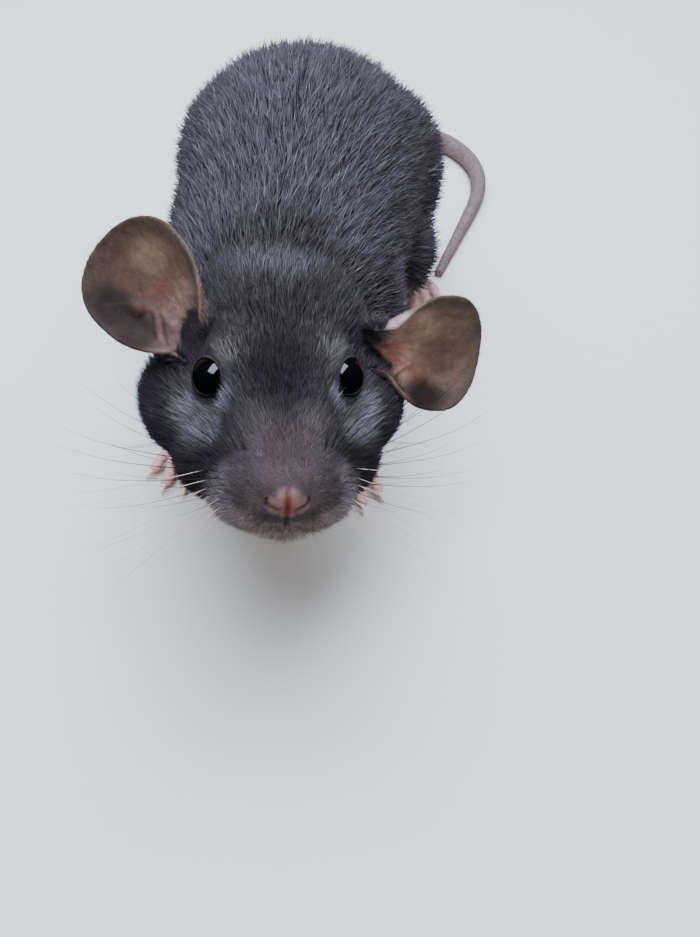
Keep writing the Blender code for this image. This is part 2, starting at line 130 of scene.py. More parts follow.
# Bars of the limbs: x, y, z and radius
FOREARM = ((16.8, 15, 15, 5.6), (16.4, 7, 11, 4.2), (15.8, 0, 6.4, 3.1), (15.5, -4, 3.6, 2.6))
HAUNCH = ((15, 59, 26), (12.6, 19, 16.6))
KNEE = ((20, 45, 17), (7.6, 11, 10))
SHANK = ((22, 47, 15, 6.4), (22.4, 57, 12, 4.8), (22.2, 66, 8.4, 3.7), (22.1, 70, 5.4, 3.2))
WRIST = (15.8, 0.4, 6.7)
ANKLE = (22.3, 66, 8.4)

# A foot: where it stands, how far it turns out, its sole and shin, its toes by place, length,
# heading and radius, the length of its claws, and its colours on top, on the toes and underneath
FOREFOOT = {
    "place": (15.4, 0),
    "splay": math.radians(4),
    "sole": ((1.4, 2.6, 2.1, 2.2), (-0.5, 2.3, 2.9, 2.6), (-3, 2, 3.3, 2.2), (-5.6, 1.7, 3.1, 1.9)),
    "shin": ((0.1, -1.5, 3.2, 2.7), (0.5, 1.8, 7.4, 3.1), (0.6, 4, 8.8, 3.2)),
    "digits": (
        (-2.5, -3.8, 6.0, -24, 0.95),
        (-0.9, -4.8, 7.4, -7, 1.05),
        (0.9, -4.8, 7.4, 7, 1.05),
        (2.5, -3.8, 6.0, 24, 0.95),
    ),
    "claw": 1.9,
    "colours": ((0.50, 0.42, 0.45), (0.58, 0.33, 0.31), (0.45, 0.16, 0.13)),
}
HINDFOOT = {
    "place": (22.2, 70.5),
    "splay": math.radians(7),
    "sole": (
        (2.2, 3.2, 2, 2.2),
        (-1, 3, 3, 3.2),
        (-8, 2.4, 3.1, 2.5),
        (-16, 2.2, 4, 2.2),
        (-21.5, 1.9, 4.2, 1.9),
    ),
    "shin": ((0, 0.6, 3.6, 3), (0, -2.6, 7.2, 3.3), (0.1, -7, 9.4, 3.7)),
    "digits": (
        (-3.4, -16, 6.2, -26, 1.05),
        (-2.6, -20.4, 9.4, -9, 1.2),
        (-0.3, -21, 10.2, -1, 1.25),
        (2, -20.4, 9.6, 7, 1.2),
        (3.5, -16.6, 7.4, 22, 1.1),
    ),
    "claw": 2.4,
    "colours": ((0.17, 0.12, 0.145), (0.50, 0.30, 0.30), (0.42, 0.18, 0.16)),
}
# Along a toe: how far, as a share of its length, how high over its root, and how thick, as a share
# of its radius
TOE = (
    (0, 0, 1.12),
    (0.22, 0.42, 1.02),
    (0.4, 0.5, 1.12),
    (0.6, 0.05, 0.96),
    (0.76, -0.5, 1.05),
    (0.92, -0.8, 0.98),
    (1, -0.92, 0.7),
)
TOE_HEIGHT = 1.9
# Along a claw: how far, as a share of its length, its height over the floor and its radius
CLAW = (
    (-0.25, 1.05, 0.42),
    (0.15, 1.15, 0.45),
    (0.45, 1.12, 0.36),
    (0.75, 0.85, 0.22),
    (1, 0.42, 0.05),
)

EAR_LENGTH = 18
# Across an ear: how far up it, half its width, and half the angle that it curls through
EAR_SECTIONS = (
    (-0.14, 3.2, 126),
    (0, 3.7, 120),
    (0.1, 5.0, 99),
    (0.22, 6.7, 78),
    (0.36, 8.0, 60),
    (0.52, 8.6, 48),
    (0.68, 8.6, 39),
    (0.81, 7.7, 32),
    (0.91, 5.9, 27),
    (0.97, 3.8, 24),
    (1, 1.6, 22),
)
EAR_COLUMNS = 24
EAR_ROWS = 40
EAR_FORWARD_BEND = 1.6
EAR_THICKNESS = 0.62
EAR_RIM_RADIUS = 0.36
# Folds along an ear's bowl, by side: the column and the height where each starts, and its length
EAR_FOLDS = {1: ((12, 1.5, 4.5), (17, 1, 5.5)), -1: ((7, 1.2, 6.5), (12, 1.5, 4.5))}
# The fold before the ear hole, and a lump in the bowl
HOLE_FOLD = ((2, -0.8, 6.8), (2.8, -1.4, 4.9), (4, -2.6, 2.6), (4.6, -3.6, 0.6))
HOLE_FOLD_RADIUS = {1: 0.42, -1: 0.6}
EAR_LUMP = ((4.2, -1.5, 8.2), (1.5, 0.7, 1.3))
# Where each ear stands on the head, and how far it tilts sideways, leans back and turns outwards
EAR_PLACE = {"left": (14.8, 10.4, -0.6), "right": (11.1, 10.8, 1.5)}
EAR_TILT = {"left": math.radians(103), "right": math.radians(51)}
EAR_LEAN = math.radians(20)
EAR_OUTWARD = math.radians(18)

# The tail: how soon it comes down to the floor, how far it curls and between which shares of its
# length, how far its middle lies over the floor as a share of its radius, and its rings' spacing
TAIL_ROOT = (0, 81, 17)
TAIL_LENGTH = 124
TAIL_RADII = (4.2, 1.0)
TAIL_DROP = 26
TAIL_CURL = math.radians(196)
TAIL_CURL_FROM = 0.06
TAIL_CURL_TO = 0.8
TAIL_SINK = 0.93
TAIL_POINTS = 260
TAIL_RING = 0.85

# Lids: how wide the eye is open, how thick they lie on it, and which way the opening faces
LID_OPENING = 2.78
LID_COVER = 0.2
LID_OUTWARD = math.radians(48)
LID_UPWARD = math.radians(23)
# How far the inner and outer corner of an eye reach past the opening, and what the inner one faces
INNER_CORNER, OUTER_CORNER = 0.28, 0.15
CORNER_FACES = (3, -12, -5)

# Coat colours, as linear red, green and blue
COAT = (0.032, 0.027, 0.032)
BACK = (0.058, 0.050, 0.062)
BELLY = (0.042, 0.034, 0.032)
# Markings of the head, in its frame, with painted light, shade and sheen among them: place, reach,
# colour and strength, the same on both sides
FACE_MARKINGS_AND_PAINTED_LIGHT = (
    ((0, -14, -5), (12, 9.5, 10), (0.072, 0.058, 0.061), 0.85),
    ((9.5, -1.5, -0.5), (7, 6.5, 6.5), (0.056, 0.05, 0.052), 0.7),
    # Under the eye: pale fur, made lighter still as painted light against the shade below the eye
    ((10.2, -3.4, -4.8), (4.8, 5.4, 3.8), (0.16, 0.152, 0.172), 0.85),
    # Painted light under the lower lid, against the shade of its overhang
    ((8.8, -3.2, -3), (4, 2.8, 2.4), (0.155, 0.148, 0.162), 0.85),
    # Painted light under the eye's bulge, which faces down into shade
    ((9.3, -3, -2.4), (2.6, 2, 1.6), (0.26, 0.248, 0.268), 0.85),
    ((7.3, -4.5, -1), (2.2, 2.2, 2.2), (0.15, 0.146, 0.172), 0.9),
    ((8, -1.6, 3.7), (3.1, 2.6, 2.3), (0.09, 0.083, 0.082), 0.9),
    ((8.3, -14, -8.4), (2.9, 3.8, 4.8), (0.165, 0.143, 0.147), 0.9),
    ((5.4, -16, -6.6), (2.1, 2.7, 2.7), (0.078, 0.058, 0.061), 0.8),
    ((4.2, -17.6, -7.4), (1.5, 1.8, 2.2), (0.115, 0.08, 0.082), 0.8),
    # Painted light on the lower muzzle and under the whisker pad, which face down: lit as if from
    # below
    ((6.4, -16.6, -10.6), (3.4, 3.2, 2.4), (0.24, 0.2, 0.198), 0.85),
    ((8.4, -15, -10.4), (2.6, 3, 3), (0.3, 0.265, 0.28), 0.8),
    ((0, -14.5, -1.6), (3.6, 6, 3.2), (0.048, 0.03, 0.031), 0.85),
    ((2.6, -17.4, -11.4), (3, 2.2, 1.5), (0.18, 0.138, 0.122), 0.8),
    ((0, -17, -5.4), (4.4, 3.2, 3.4), (0.12, 0.08, 0.08), 0.6),
    ((0, -15, -13.5), (7.5, 7, 3.4), (0.23, 0.175, 0.16), 0.8),
    ((0, -4.5, 2.6), (4.8, 9, 5), (0.012, 0.01, 0.011), 0.9),
    ((0, 5, 7), (7, 6, 5), (0.024, 0.02, 0.023), 0.7),
    # Painted sheen on the crown: darker at its sides than along its middle
    ((8.8, 13, 6.5), (4.6, 7, 5), (0.029, 0.025, 0.03), 0.8),
    ((0, 22, 8), (11, 8, 8), (0.03, 0.026, 0.03), 0.8),
    # Painted sheen on the crown: a lighter band down its middle
    ((0, 12, 8.5), (5.5, 4.5, 4.5), (0.074, 0.067, 0.078), 0.6),
)
# Rows of whiskers: the height of each row on the muzzle, how long and how far back
WHISKER_ROWS = [(-5.8 - 1.3 * row, length) for row, length in enumerate((0.55, 0.8, 1, 1, 0.9, 0.7))]
WHISKER_COLUMNS = [-15.6 + 1.5 * column for column in range(6)]
# Markings of the body
BODY_MARKINGS = (
    ((-6, 35, 8), (4.4, 3.4, 7), (0.42, 0.41, 0.39), 0.95),
    ((-1.5, 37.5, 8), (4.6, 3, 7), (0.42, 0.41, 0.39), 0.95),
    ((4.5, 39, 8), (4.2, 4.8, 7), (0.42, 0.41, 0.39), 0.95),
)
WRIST_COLOUR = (0.45, 0.44, 0.5)
# Markings of an ear's bowl, in its frame, with painted light and shade among them: place towards the
# lower edge and along the ear, reach, colour and strength
EAR_MARKINGS_AND_PAINTED_LIGHT = {
    1: (
        ((0.4, 12), (4.4, 4.4), (0.06, 0.029, 0.019), 0.75),
        ((-3.6, 7.4), (2.8, 3.4), (0.21, 0.145, 0.1), 0.8),
        ((1.4, 3.2), (2.2, 2.2), (0.3, 0.12, 0.095), 0.7),
        ((3.9, 8), (2.4, 2.2), (0.11, 0.048, 0.028), 0.8),
        # Painted shadow on the bowl's lower lobe, under its curled lower rim
        ((6.8, 8.6), (3, 5.2), (0.008, 0.003, 0.003), 0.96),
        ((-4.4, 0.9), (2.2, 2.6), (0.32, 0.225, 0.23), 0.8),
    ),
    -1: (
        ((0, 12), (9, 9), (0.055, 0.03, 0.019), 0.7),
        # The bowl's pale middle: partly the ear's own colour, partly painted light where the bowl is
        # lit
        ((-3, 11.8), (3.4, 3.6), (0.15, 0.105, 0.068), 0.85),
        ((-0.4, 7.6), (2.8, 2.2), (0.135, 0.065, 0.048), 0.8),
        # Painted shadow over the bowl's lower lobe, in two rounds
        ((6.2, 10.4), (3.6, 5.6), (0.01, 0.005, 0.004), 0.95),
        ((5.6, 5.4), (3.4, 4.2), (0.016, 0.007, 0.005), 0.94),
        ((2.9, 4.2), (0.9, 3.2), (0.08, 0.038, 0.04), 0.85),
    ),
}
ANKLE_COLOUR = (0.14, 0.1, 0.13)
DOT_COLOUR = (0.02, 0.015, 0.017)
LID_EDGE = (0.022, 0.017, 0.019)
LID_MARGIN = (0.016, 0.013, 0.015)
# Colours and roughness of the bare parts
NOSE_COLOUR, NOSE_GROOVE = (0.155, 0.088, 0.084), (0.15, 0.026, 0.026)
TAIL_COLOUR, TAIL_TOP = (0.2, 0.135, 0.13), (0.11, 0.085, 0.09)
EAR_COLOUR, EAR_RIM, EAR_BACK = (0.105, 0.068, 0.047), (0.046, 0.032, 0.024), (0.05, 0.042, 0.041)
# The warm bowl and root of an ear: partly its own pink, partly painted glow of light through the ear
EAR_BOWL = {1: (0.36, 0.21, 0.16), -1: (0.33, 0.21, 0.175)}
EAR_ROOT, EAR_VEIN = (0.36, 0.21, 0.18), (0.085, 0.03, 0.024)
VEIN_LEANS = (-0.62, -0.3, 0.02, 0.36, 0.66)
COAT_ROUGHNESS = 0.8
ROUGHNESS = {"ear": 0.78, "tail": 0.62, "forefoot": 0.62, "hindfoot": 0.62, "nose": 0.36}


def new_object(name, mesh):
    obj = bpy.data.objects.new(name, mesh)
    bpy.context.scene.collection.objects.link(obj)
    return obj


def to_object(name, bm):
    mesh = bpy.data.meshes.new(name)
    bm.to_mesh(mesh)
    bm.free()
    return new_object(name, mesh)


def closed(name, bm):
    """An object of a closed form, with its faces turned outwards by the sign of its volume."""
    bmesh.ops.recalc_face_normals(bm, faces=bm.faces)
    if bm.calc_volume(signed=True) < 0:
        bmesh.ops.reverse_faces(bm, faces=bm.faces)
    return to_object(name, bm)


def mirrored(place, side):
    return Vector((place[0] * side, *place[1:]))


def turned_to(direction, place):
    """A frame at a place, with its Z axis in a direction."""
    turn = Vector(direction).to_track_quat("Z", "Y").to_matrix().to_4x4()
    return Matrix.Translation(Vector(place) * MM) @ turn


def ellipsoid(name, place, radii, at=Matrix.Identity(4), rings=16):
    bm = bmesh.new()
    bmesh.ops.create_uvsphere(bm, u_segments=2 * rings, v_segments=rings, radius=1)
    size = Matrix.Diagonal(Vector(radii) * MM).to_4x4()
    bm.transform(at @ Matrix.Translation(Vector(place) * MM) @ size)
    return closed(name, bm)


def bridge(bm, rings):
    """Adds a closed form through rings of points, which all have the same number of points."""
    rows = [[bm.verts.new(point) for point in ring] for ring in rings]
    for near, far in zip(rows, rows[1:]):
        for k in range(len(near)):
            bm.faces.new((near[k], near[k - 1], far[k - 1], far[k]))
    bm.faces.new(rows[0])
    bm.faces.new(reversed(rows[-1]))


def bridged(name, rings):
    bm = bmesh.new()
    bridge(bm, rings)
    return closed(name, bm)


def loft(name, stations, at=Matrix.Identity(4), around=16, softness=2):
    """A soft closed form through sections across Y, each given as y, z, half width and half height."""
    turns = [2 * math.pi * k / around for k in range(around)]
    rings = [
        [at @ (Vector((wide * math.cos(a), y, z + high * math.sin(a))) * MM) for a in turns]
        for y, z, wide, high in stations
    ]
    obj = bridged(name, rings)
    soften = obj.modifiers.new("soften", "SUBSURF")
    soften.levels = soften.render_levels = softness
    return settled(obj)


def tube(name, points, at=Matrix.Identity(4), around=12):
    """A round closed bar through points given as x, y, z and radius."""
    spots = [Vector(p[:3]) for p in points]
    rings = []
    for k, (spot, (*_, radius)) in enumerate(zip(spots, points)):
        along = (spots[min(k + 1, len(spots) - 1)] - spots[max(k - 1, 0)]).normalized()
        across = along.cross(Vector((0, 0, 1)))
        if across.length < 0.1:
            across = along.cross(Vector((1, 0, 0)))
        across.normalize()
        up = across.cross(along)
        ring = []
        for j in range(around):
            a = 2 * math.pi * j / around
            out = across * math.cos(a) + up * math.sin(a)
            ring.append(at @ ((spot + out * radius) * MM))
        rings.append(ring)
    return bridged(name, rings)


def fine(table, count):
    """A table's rows drawn out to a count of rows, along a smooth curve through them."""
    rows = np.array(table, float)
    rows = np.vstack([2 * rows[0] - rows[1], rows, 2 * rows[-1] - rows[-2]])
    t = np.linspace(0, len(table) - 1, count)
    k = np.minimum(t.astype(int), len(table) - 2)
    u = (t - k)[:, None]
    a, b, c, d = (rows[k + j] for j in range(4))
    square, cube = 2 * a - 5 * b + 4 * c - d, 3 * b - a - 3 * c + d
    return 0.5 * (2 * b + (c - a) * u + square * u**2 + cube * u**3)


def settled(obj):
    """The object's evaluated shape as a plain mesh object in world space, in its place."""
    bpy.context.view_layer.update()
    graph = bpy.context.evaluated_depsgraph_get()
    mesh = bpy.data.meshes.new_from_object(obj.evaluated_get(graph), depsgraph=graph)
    mesh.transform(obj.matrix_world)
    name = obj.name
    bpy.data.objects.remove(obj)
    return new_object(name, mesh)


def joined(name, pieces):
    bm = bmesh.new()
    for piece in pieces:
        bm.from_mesh(piece.data)
        bpy.data.objects.remove(piece)
    return to_object(name, bm)


def melted(obj, voxel, smoothing):
    """Melts all forms of an object into one and smooths it."""
    remesh = obj.modifiers.new("melt", "REMESH")
    remesh.mode = "VOXEL"
    remesh.voxel_size = voxel * MM
    smooth = obj.modifiers.new("smooth", "SMOOTH")
    smooth.factor = 0.5
    smooth.iterations = smoothing
    return settled(obj)


def head_frame():
    """The head's frame: turned, lifted and tilted about the neck's pivot."""
    turn = Matrix.Rotation(HEAD_TURN, 4, "Z") @ Matrix.Rotation(-HEAD_LIFT, 4, "X")
    turn = turn @ Matrix.Rotation(HEAD_TILT, 4, "Y")
    return Matrix.Translation(NECK_PIVOT) @ turn @ Matrix.Translation((0, -HEAD_REACH, HEAD_RISE))


def facing(azimuth, elevation):
    """The way that has an azimuth from -Y towards +X and an elevation."""
    flat = math.cos(elevation)
    return Vector((math.sin(azimuth) * flat, -math.cos(azimuth) * flat, math.sin(elevation)))


def eye_frame(side, outward=EYE_OUTWARD, upward=EYE_UPWARD):
    """An eye's frame, with its Z axis along the way that the eye looks."""
    return HEAD @ turned_to(facing(side * outward, upward), mirrored(EYE_PLACE, side))


def ear_frame(side_name, side):
    tilt = Matrix.Rotation(side * EAR_TILT[side_name], 4, "Y")
    lean = Matrix.Rotation(-EAR_LEAN, 4, "X")
    outward = Matrix.Rotation(side * EAR_OUTWARD, 4, "Z")
    place = Matrix.Translation(mirrored(EAR_PLACE[side_name], side) * MM)
    return HEAD @ place @ outward @ lean @ tilt


def foot_frame(sizes, side):
    x, y = sizes["place"]
    place = Matrix.Translation(Vector((side * x, y, 0)) * MM)
    return place @ Matrix.Rotation(side * sizes["splay"], 4, "Z")


HEAD = head_frame()
EYES = {side: eye_frame(side) for side in SIDES.values()}
LIDS = {side: eye_frame(side, LID_OUTWARD, LID_UPWARD) for side in SIDES.values()}
EARS = {side: ear_frame(name, side) for name, side in SIDES.items()}

# The solids stand on the origin, and this is how far that moved them, found from the left eye
eye_low, eye_high = (Vector(corner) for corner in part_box("eye_left"))
STAND = (eye_low + eye_high) / 2 - EYES[1].translation


def read(source, key, wide=3, kind=np.float32):
    """A row of numbers for each item of one of a mesh's lists."""
    found = np.empty(wide * len(source), kind)
    source.foreach_get(key, found)
    return found.reshape(-1, wide)


def places(mesh):
    """The mesh's points, in millimetres."""
    return read(mesh.vertices, "co").astype(float) / MM


def normals(mesh):
    return read(mesh.vertex_normals, "vector").astype(float)


def move(mesh, points):
    """Moves the mesh's points to new places, in millimetres."""
    mesh.vertices.foreach_set("co", (points * MM).astype(np.float32).ravel())
    mesh.update()


def step(x, low, high):
    """0 below low, 1 above high, and smooth between them."""
    t = np.clip((x - low) / (high - low), 0, 1)
    return t * t * (3 - 2 * t)


def bell(x, width):
    """1 where x is 0, and down to nearly nothing at twice the width."""
    return np.exp(-((x / width) ** 2))


def unit(rows):
    return rows / np.maximum(np.linalg.norm(rows, axis=1), 1e-6)[:, None]


def all_over(colour, points):
    """The same colour for every point."""
    return np.tile(np.array(colour, float), (len(points), 1))


def seen_from(at, points):
    """Points as a frame sees them, all in millimetres."""
    inverse = np.array(at.inverted())
    return points @ inverse[:3, :3].T + inverse[:3, 3] / MM


def put_back(at, points):
    """Points that a frame sees, in the solids' axes again."""
    forth = np.array(at)
    return points @ forth[:3, :3].T + forth[:3, 3] / MM


def far_from(points, place):
    return np.linalg.norm(points - np.array(place, float), axis=1)


def both_sides(points):
    """The points with the right side laid on the left."""
    return points * np.where(points[:, :1] < 0, (-1, 1, 1), (1, 1, 1))


def apart(frames, points, place=(0, 0, 0)):
    """How far the points are from a place in the nearer one of two frames."""
    return np.minimum(*(far_from(seen_from(at, points), place) for at in frames.values()))


def on_lids(points):
    """For each lid, how far the points are from its axis, and how high along it."""
    for at in LIDS.values():
        q = seen_from(at, points)
        yield np.hypot(q[:, 0], q[:, 1]), q[:, 2]


def of_both(make, *sizes):
    """What a function makes for the left side and for the right."""
    return [piece for side in SIDES.values() for piece in make(*sizes, side)]


def tree_of(mesh):
    corners = [vertex.co / MM for vertex in mesh.vertices]
    return BVHTree.FromPolygons(corners, [face.vertices for face in mesh.polygons])


# The camera


def make_camera():
    """The camera, aimed so that the middle between the eyes lies at its place in the picture."""
    view = bpy.data.cameras.new("camera")
    view.sensor_width = 36
    view.lens = view.sensor_width * FOCAL / max(PICTURE)
    view.clip_start = 0.005
    camera = new_object("camera", view)
    back = facing(CAMERA_AZIMUTH, CAMERA_ELEVATION)
    camera.location = HEAD.translation + STAND + back * CAMERA_DISTANCE * MM
    across, down = EYES_AT[0] - PICTURE[0] / 2, EYES_AT[1] - PICTURE[1] / 2
    aim = Vector((across, -down, -FOCAL)).normalized().rotation_difference(Vector((0, 0, -1)))
    camera.rotation_euler = ((-back).to_track_quat("-Z", "Y") @ aim).to_euler()
    bpy.context.scene.camera = camera


make_camera()

# The skin


def flesh():
    """Head, neck, torso and legs as one soft form, as the solids have it."""
    pieces = [
        loft("torso form", TORSO),
        loft("skull form", SKULL, HEAD),
        ellipsoid("chin form", *CHIN, HEAD),
    ]
    for side in SIDES.values():
        for place, radii in (CHEEK, JOWL, WHISKER_PAD, BROW):
            pieces.append(ellipsoid("face form", mirrored(place, side), radii, HEAD))
        for place, radii in (SHOULDER, ELBOW, HAUNCH, KNEE):
            pieces.append(ellipsoid("limb form", mirrored(place, side), radii))
        for path in (FOREARM, SHANK):
            pieces.append(tube("limb form", [(x * side, y, z, r) for x, y, z, r in fine(path, 12)]))
    return melted(joined("flesh", pieces), FLESH_VOXEL, FLESH_SMOOTHING)


def near_feet(points, low, high):
    """0 at the wrists and ankles, 1 away from them."""
    left = both_sides(points)
    return step(np.minimum(far_from(left, WRIST), far_from(left, ANKLE)), low, high)


def coat_depth(p, h):
    """How far the skin lies inside the solids, which hold the outside of the coat."""
    depth = 0.45 + 0.65 * step(h[:, 1], -12, 2) + 0.8 * step(h[:, 1], 8, 24)
    depth *= 0.2 + 0.8 * step(apart(EYES, p), 3.4, 7)
    depth *= 0.4 + 0.6 * step(apart(EARS, p, (0, 0, 3)), 4, 8)
    depth *= 0.12 + 0.88 * near_feet(p, 4, 18)
    depth *= 0.3 + 0.7 * step(far_from(p, TAIL_ROOT), 4, 12)
    return depth * step(far_from(h, NOSE[0]), 2.5, 6)


def ear_pieces(side):
    """The leaf of an ear, its rim, and the folds and the lump in its bowl."""
    at = EARS[side]
    rows = []
    for fraction, half_width, half_curl in fine(EAR_SECTIONS, EAR_ROWS):
        curl = math.radians(half_curl)
        radius = half_width / math.sin(min(curl, math.pi / 2))
        middle = -EAR_FORWARD_BEND * max(fraction, 0) ** 2
        row = []
        for k in range(EAR_COLUMNS + 1):
            a = curl * (2 * k / EAR_COLUMNS - 1)
            forward = middle - radius * (1 - math.cos(a))
            row.append(Vector((radius * math.sin(a), forward, EAR_LENGTH * fraction)))
        rows.append(row)
    bm = bmesh.new()
    verts = [[bm.verts.new(at @ (point * MM)) for point in row] for row in rows]
    for low, high in zip(verts, verts[1:]):
        for k in range(EAR_COLUMNS):
            bm.faces.new((low[k], low[k + 1], high[k + 1], high[k]))
    leaf = to_object("ear leaf", bm)
    shell = leaf.modifiers.new("shell", "SOLIDIFY")
    shell.thickness = EAR_THICKNESS * MM
    shell.offset = 0
    rim = [row[0] for row in rows[4:]] + [row[-1] for row in reversed(rows[4:])]
    pieces = [settled(leaf), tube("ear rim", [(*point, EAR_RIM_RADIUS) for point in rim], at, 8)]
    for column, height, long in EAR_FOLDS[side]:
        inward = (column < 12) - (column > 12)
        path = []
        for k in range(5):
            row = rows[int((height + long * k / 4) / EAR_LENGTH * EAR_ROWS * 0.88) + 4]
            spot = row[column + inward * k // 3]
            path.append((spot.x * 0.97, spot.y - 0.15, spot.z, 0.6 - 0.1 * k))
        pieces.append(tube("ear fold", fine(path, 12), at, 8))
    path = []
    for k, (x, y, z) in enumerate(HOLE_FOLD):
        path.append((side * x, y, z, HOLE_FOLD_RADIUS[side] + 0.06 * k))
    pieces.append(tube("ear fold", fine(path, 14), at, 10))
    place, radii = EAR_LUMP
    pieces.append(ellipsoid("ear lump", mirrored(place, side), radii, at))
    return pieces


def toes(sizes, side):
    """For each toe of a foot, its root on the floor, the way it points, its length and radius."""
    for across, forward, length, heading, radius in sizes["digits"]:
        turn = math.radians(side * heading)
        way = Vector((math.sin(turn), -math.cos(turn), 0))
        yield Vector((side * across, forward, 0)), way, length, radius


def foot_pieces(sizes, side):
    """A foot's sole, toes and the root of its shin."""
    at = foot_frame(sizes, side)
    pieces = [
        loft("sole", sizes["sole"], at, around=12),
        tube("stump", fine([(side * x, *rest) for x, *rest in sizes["shin"]], 8), at),
    ]
    for root, way, length, radius in toes(sizes, side):
        base = root + Vector((0, 0, TOE_HEIGHT))
        points = [(*(base + way * length * t + Vector((0, 0, h))), radius * r) for t, h, r in TOE]
        pieces.append(tube("toe", fine(points, 26), at, 14))
    return pieces


def claw_pieces(sizes, side):
    at = foot_frame(sizes, side)
    pieces = []
    for root, way, length, _ in toes(sizes, side):
        tip = root + way * length
        points = [(*(tip + way * sizes["claw"] * t).xy, h, r) for t, h, r in CLAW]
        pieces.append(tube("claw", fine(points, 12), at, 10))
    return pieces


def tail_line(count):
    """Points and radii along the tail: it comes down to the floor and curls to the left."""
    root_radius, tip_radius = TAIL_RADII
    pace = TAIL_LENGTH / (count - 1)
    x, y, z = TAIL_ROOT
    line = []
    for k in range(count):
        t = k / (count - 1)
        radius = root_radius + (tip_radius - root_radius) * t**0.85
        floor = radius * TAIL_SINK
        height = floor + (z - TAIL_SINK * root_radius) * (1 - step(t * TAIL_LENGTH, 0, TAIL_DROP))
        line.append((x, y, height, radius))
        heading = TAIL_CURL * step(t, TAIL_CURL_FROM, TAIL_CURL_TO)
        x += pace * math.sin(heading)
        y += pace * math.cos(heading)
    return line


TAIL = tail_line(TAIL_POINTS)


def distances(points, pieces, reach):
    """How far each point is from the nearest of the pieces, or the reach if it is further."""
    found = np.full(len(points), float(reach))
    for piece in pieces:
        tree = tree_of(piece.data)
        corners = places(piece.data)
        inside = ((points > corners.min(0) - reach) & (points < corners.max(0) + reach)).all(1)
        for k in np.nonzero(inside)[0]:
            far = tree.find_nearest(points[k], reach)[3]
            if far is not None and far < found[k]:
                found[k] = far
    return found


def refined(mesh, picked):
    """Splits the mesh's edges that have both ends picked."""
    bm = bmesh.new()
    bm.from_mesh(mesh)
    edges = [e for e in bm.edges if picked[e.verts[0].index] and picked[e.verts[1].index]]
    bmesh.ops.subdivide_edges(bm, edges=edges, cuts=1, use_grid_fill=True)
    bm.to_mesh(mesh)
    bm.free()


def mouth_line():
    """Points from one corner of the mouth round the front of the muzzle to the other corner."""
    corner, front = Vector(MOUTH_CORNER), Vector(MOUTH_FRONT)
    points = []
    for k in range(60):
        a = math.pi * k / 59
        point = corner.lerp(front, math.sin(a) ** 0.8)
        points.append((corner.x * math.cos(a), point.y, point.z - MOUTH_SAG * math.sin(2 * a) ** 2))
    return np.array(points)


def along_line(points, line):
    """Each point's distance from a line of points."""
    return np.sqrt(((points[:, None] - line[None]) ** 2).sum(2)).min(1)


def lids(p):
    """Lays the lids over the eyes and takes the skin out from under them."""
    for side, at in LIDS.items():
        q = seen_from(at, p)
        across = np.hypot(q[:, 0], q[:, 1])
        near = (across < 5.5) & (q[:, 2] > -2) & (q[:, 2] < 5)
        q, across = q[near], across[near]
        faced = seen_from(at, put_back(HEAD, np.array([mirrored(CORNER_FACES, side)], float)))[0]
        towards = math.atan2(faced[1], faced[0])
        angle = np.arctan2(q[:, 1], q[:, 0]) - towards
        rim = LID_OPENING + INNER_CORNER * np.clip(np.cos(angle), 0, 1) ** 10
        rim += OUTER_CORNER * np.clip(-np.cos(angle), 0, 1) ** 8
        over = np.sqrt(np.clip((EYE_RADIUS + LID_COVER) ** 2 - across**2, 0, None))
        under = np.sqrt(np.clip(EYE_RADIUS**2 - across**2, 0, None)) - 0.8
        lid = np.where(across > rim, over, under + (over - under) * step(across, rim - 0.22, rim))
        away = step(across, 3.0, 4.8)
        outside = np.maximum(lid, q[:, 2])
        blend = step(across, rim, rim + 0.4)
        height = lid * (1 - blend) + outside * blend
        q[:, 2] = height * (1 - away) + q[:, 2] * away
        p[near] = put_back(at, q)
    return p


def nose_and_mouth(h):
    """Shapes nose, nostrils, the groove down to the mouth, and the line of the mouth."""
    near = h[:, 1] < -5
    q = h[near]
    x, y, z = q.T
    side = np.where(x < 0, -1, 1)
    wide = np.abs(x)
    front = step(-y, 14.5, 17)
    groove = bell(x, 0.3) * step(z, -12.2, -11) * (1 - step(z, -4.9, -3.9)) * front
    lobes = np.exp(-(((wide - 1.1) / 0.8) ** 2) - ((z + 5.6) / 1.5) ** 2) * front
    wings = np.exp(-(((wide - 2.5) / 0.6) ** 2) - ((z + 6.7) / 1.2) ** 2) * front
    path = fine(NOSTRIL, NOSTRIL_POINTS)
    far = np.sqrt(((np.stack([wide, z], 1)[:, None] - path[None]) ** 2).sum(2))
    nearest, spot = far.min(1), far.argmin(1)
    slit = 0.38 - 0.2 * spot / (NOSTRIL_POINTS - 1)
    nostril = bell(nearest, slit) * step(-y, 16.2, 17)
    q[:, 1] += 0.5 * groove - 0.22 * lobes + 0.95 * nostril * (1 - 0.4 * spot / (NOSTRIL_POINTS - 1))
    q[:, 0] += side * 0.25 * wings
    line = along_line(q, mouth_line())
    inward = unit(q - np.array(MUZZLE_MIDDLE))
    q -= inward * (0.6 * bell(line, 0.34) - 0.14 * bell(line - 0.9, 0.45))[:, None]
    h[near] = q
    return h


def thinned(obj, kept):
    """Leaves fewer and larger faces where the coat covers the skin."""
    group = obj.vertex_groups.new(name="covered")
    group.add(np.nonzero(~kept)[0].tolist(), 1.0, "REPLACE")
    thin = obj.modifiers.new("thin out", "DECIMATE")
    covered = np.mean(~kept)
    thin.ratio = 1 - covered * (1 - COVERED_SKIN_SHARE)
    thin.vertex_group = "covered"
    thin.vertex_group_factor = 1000
    return settled(obj)


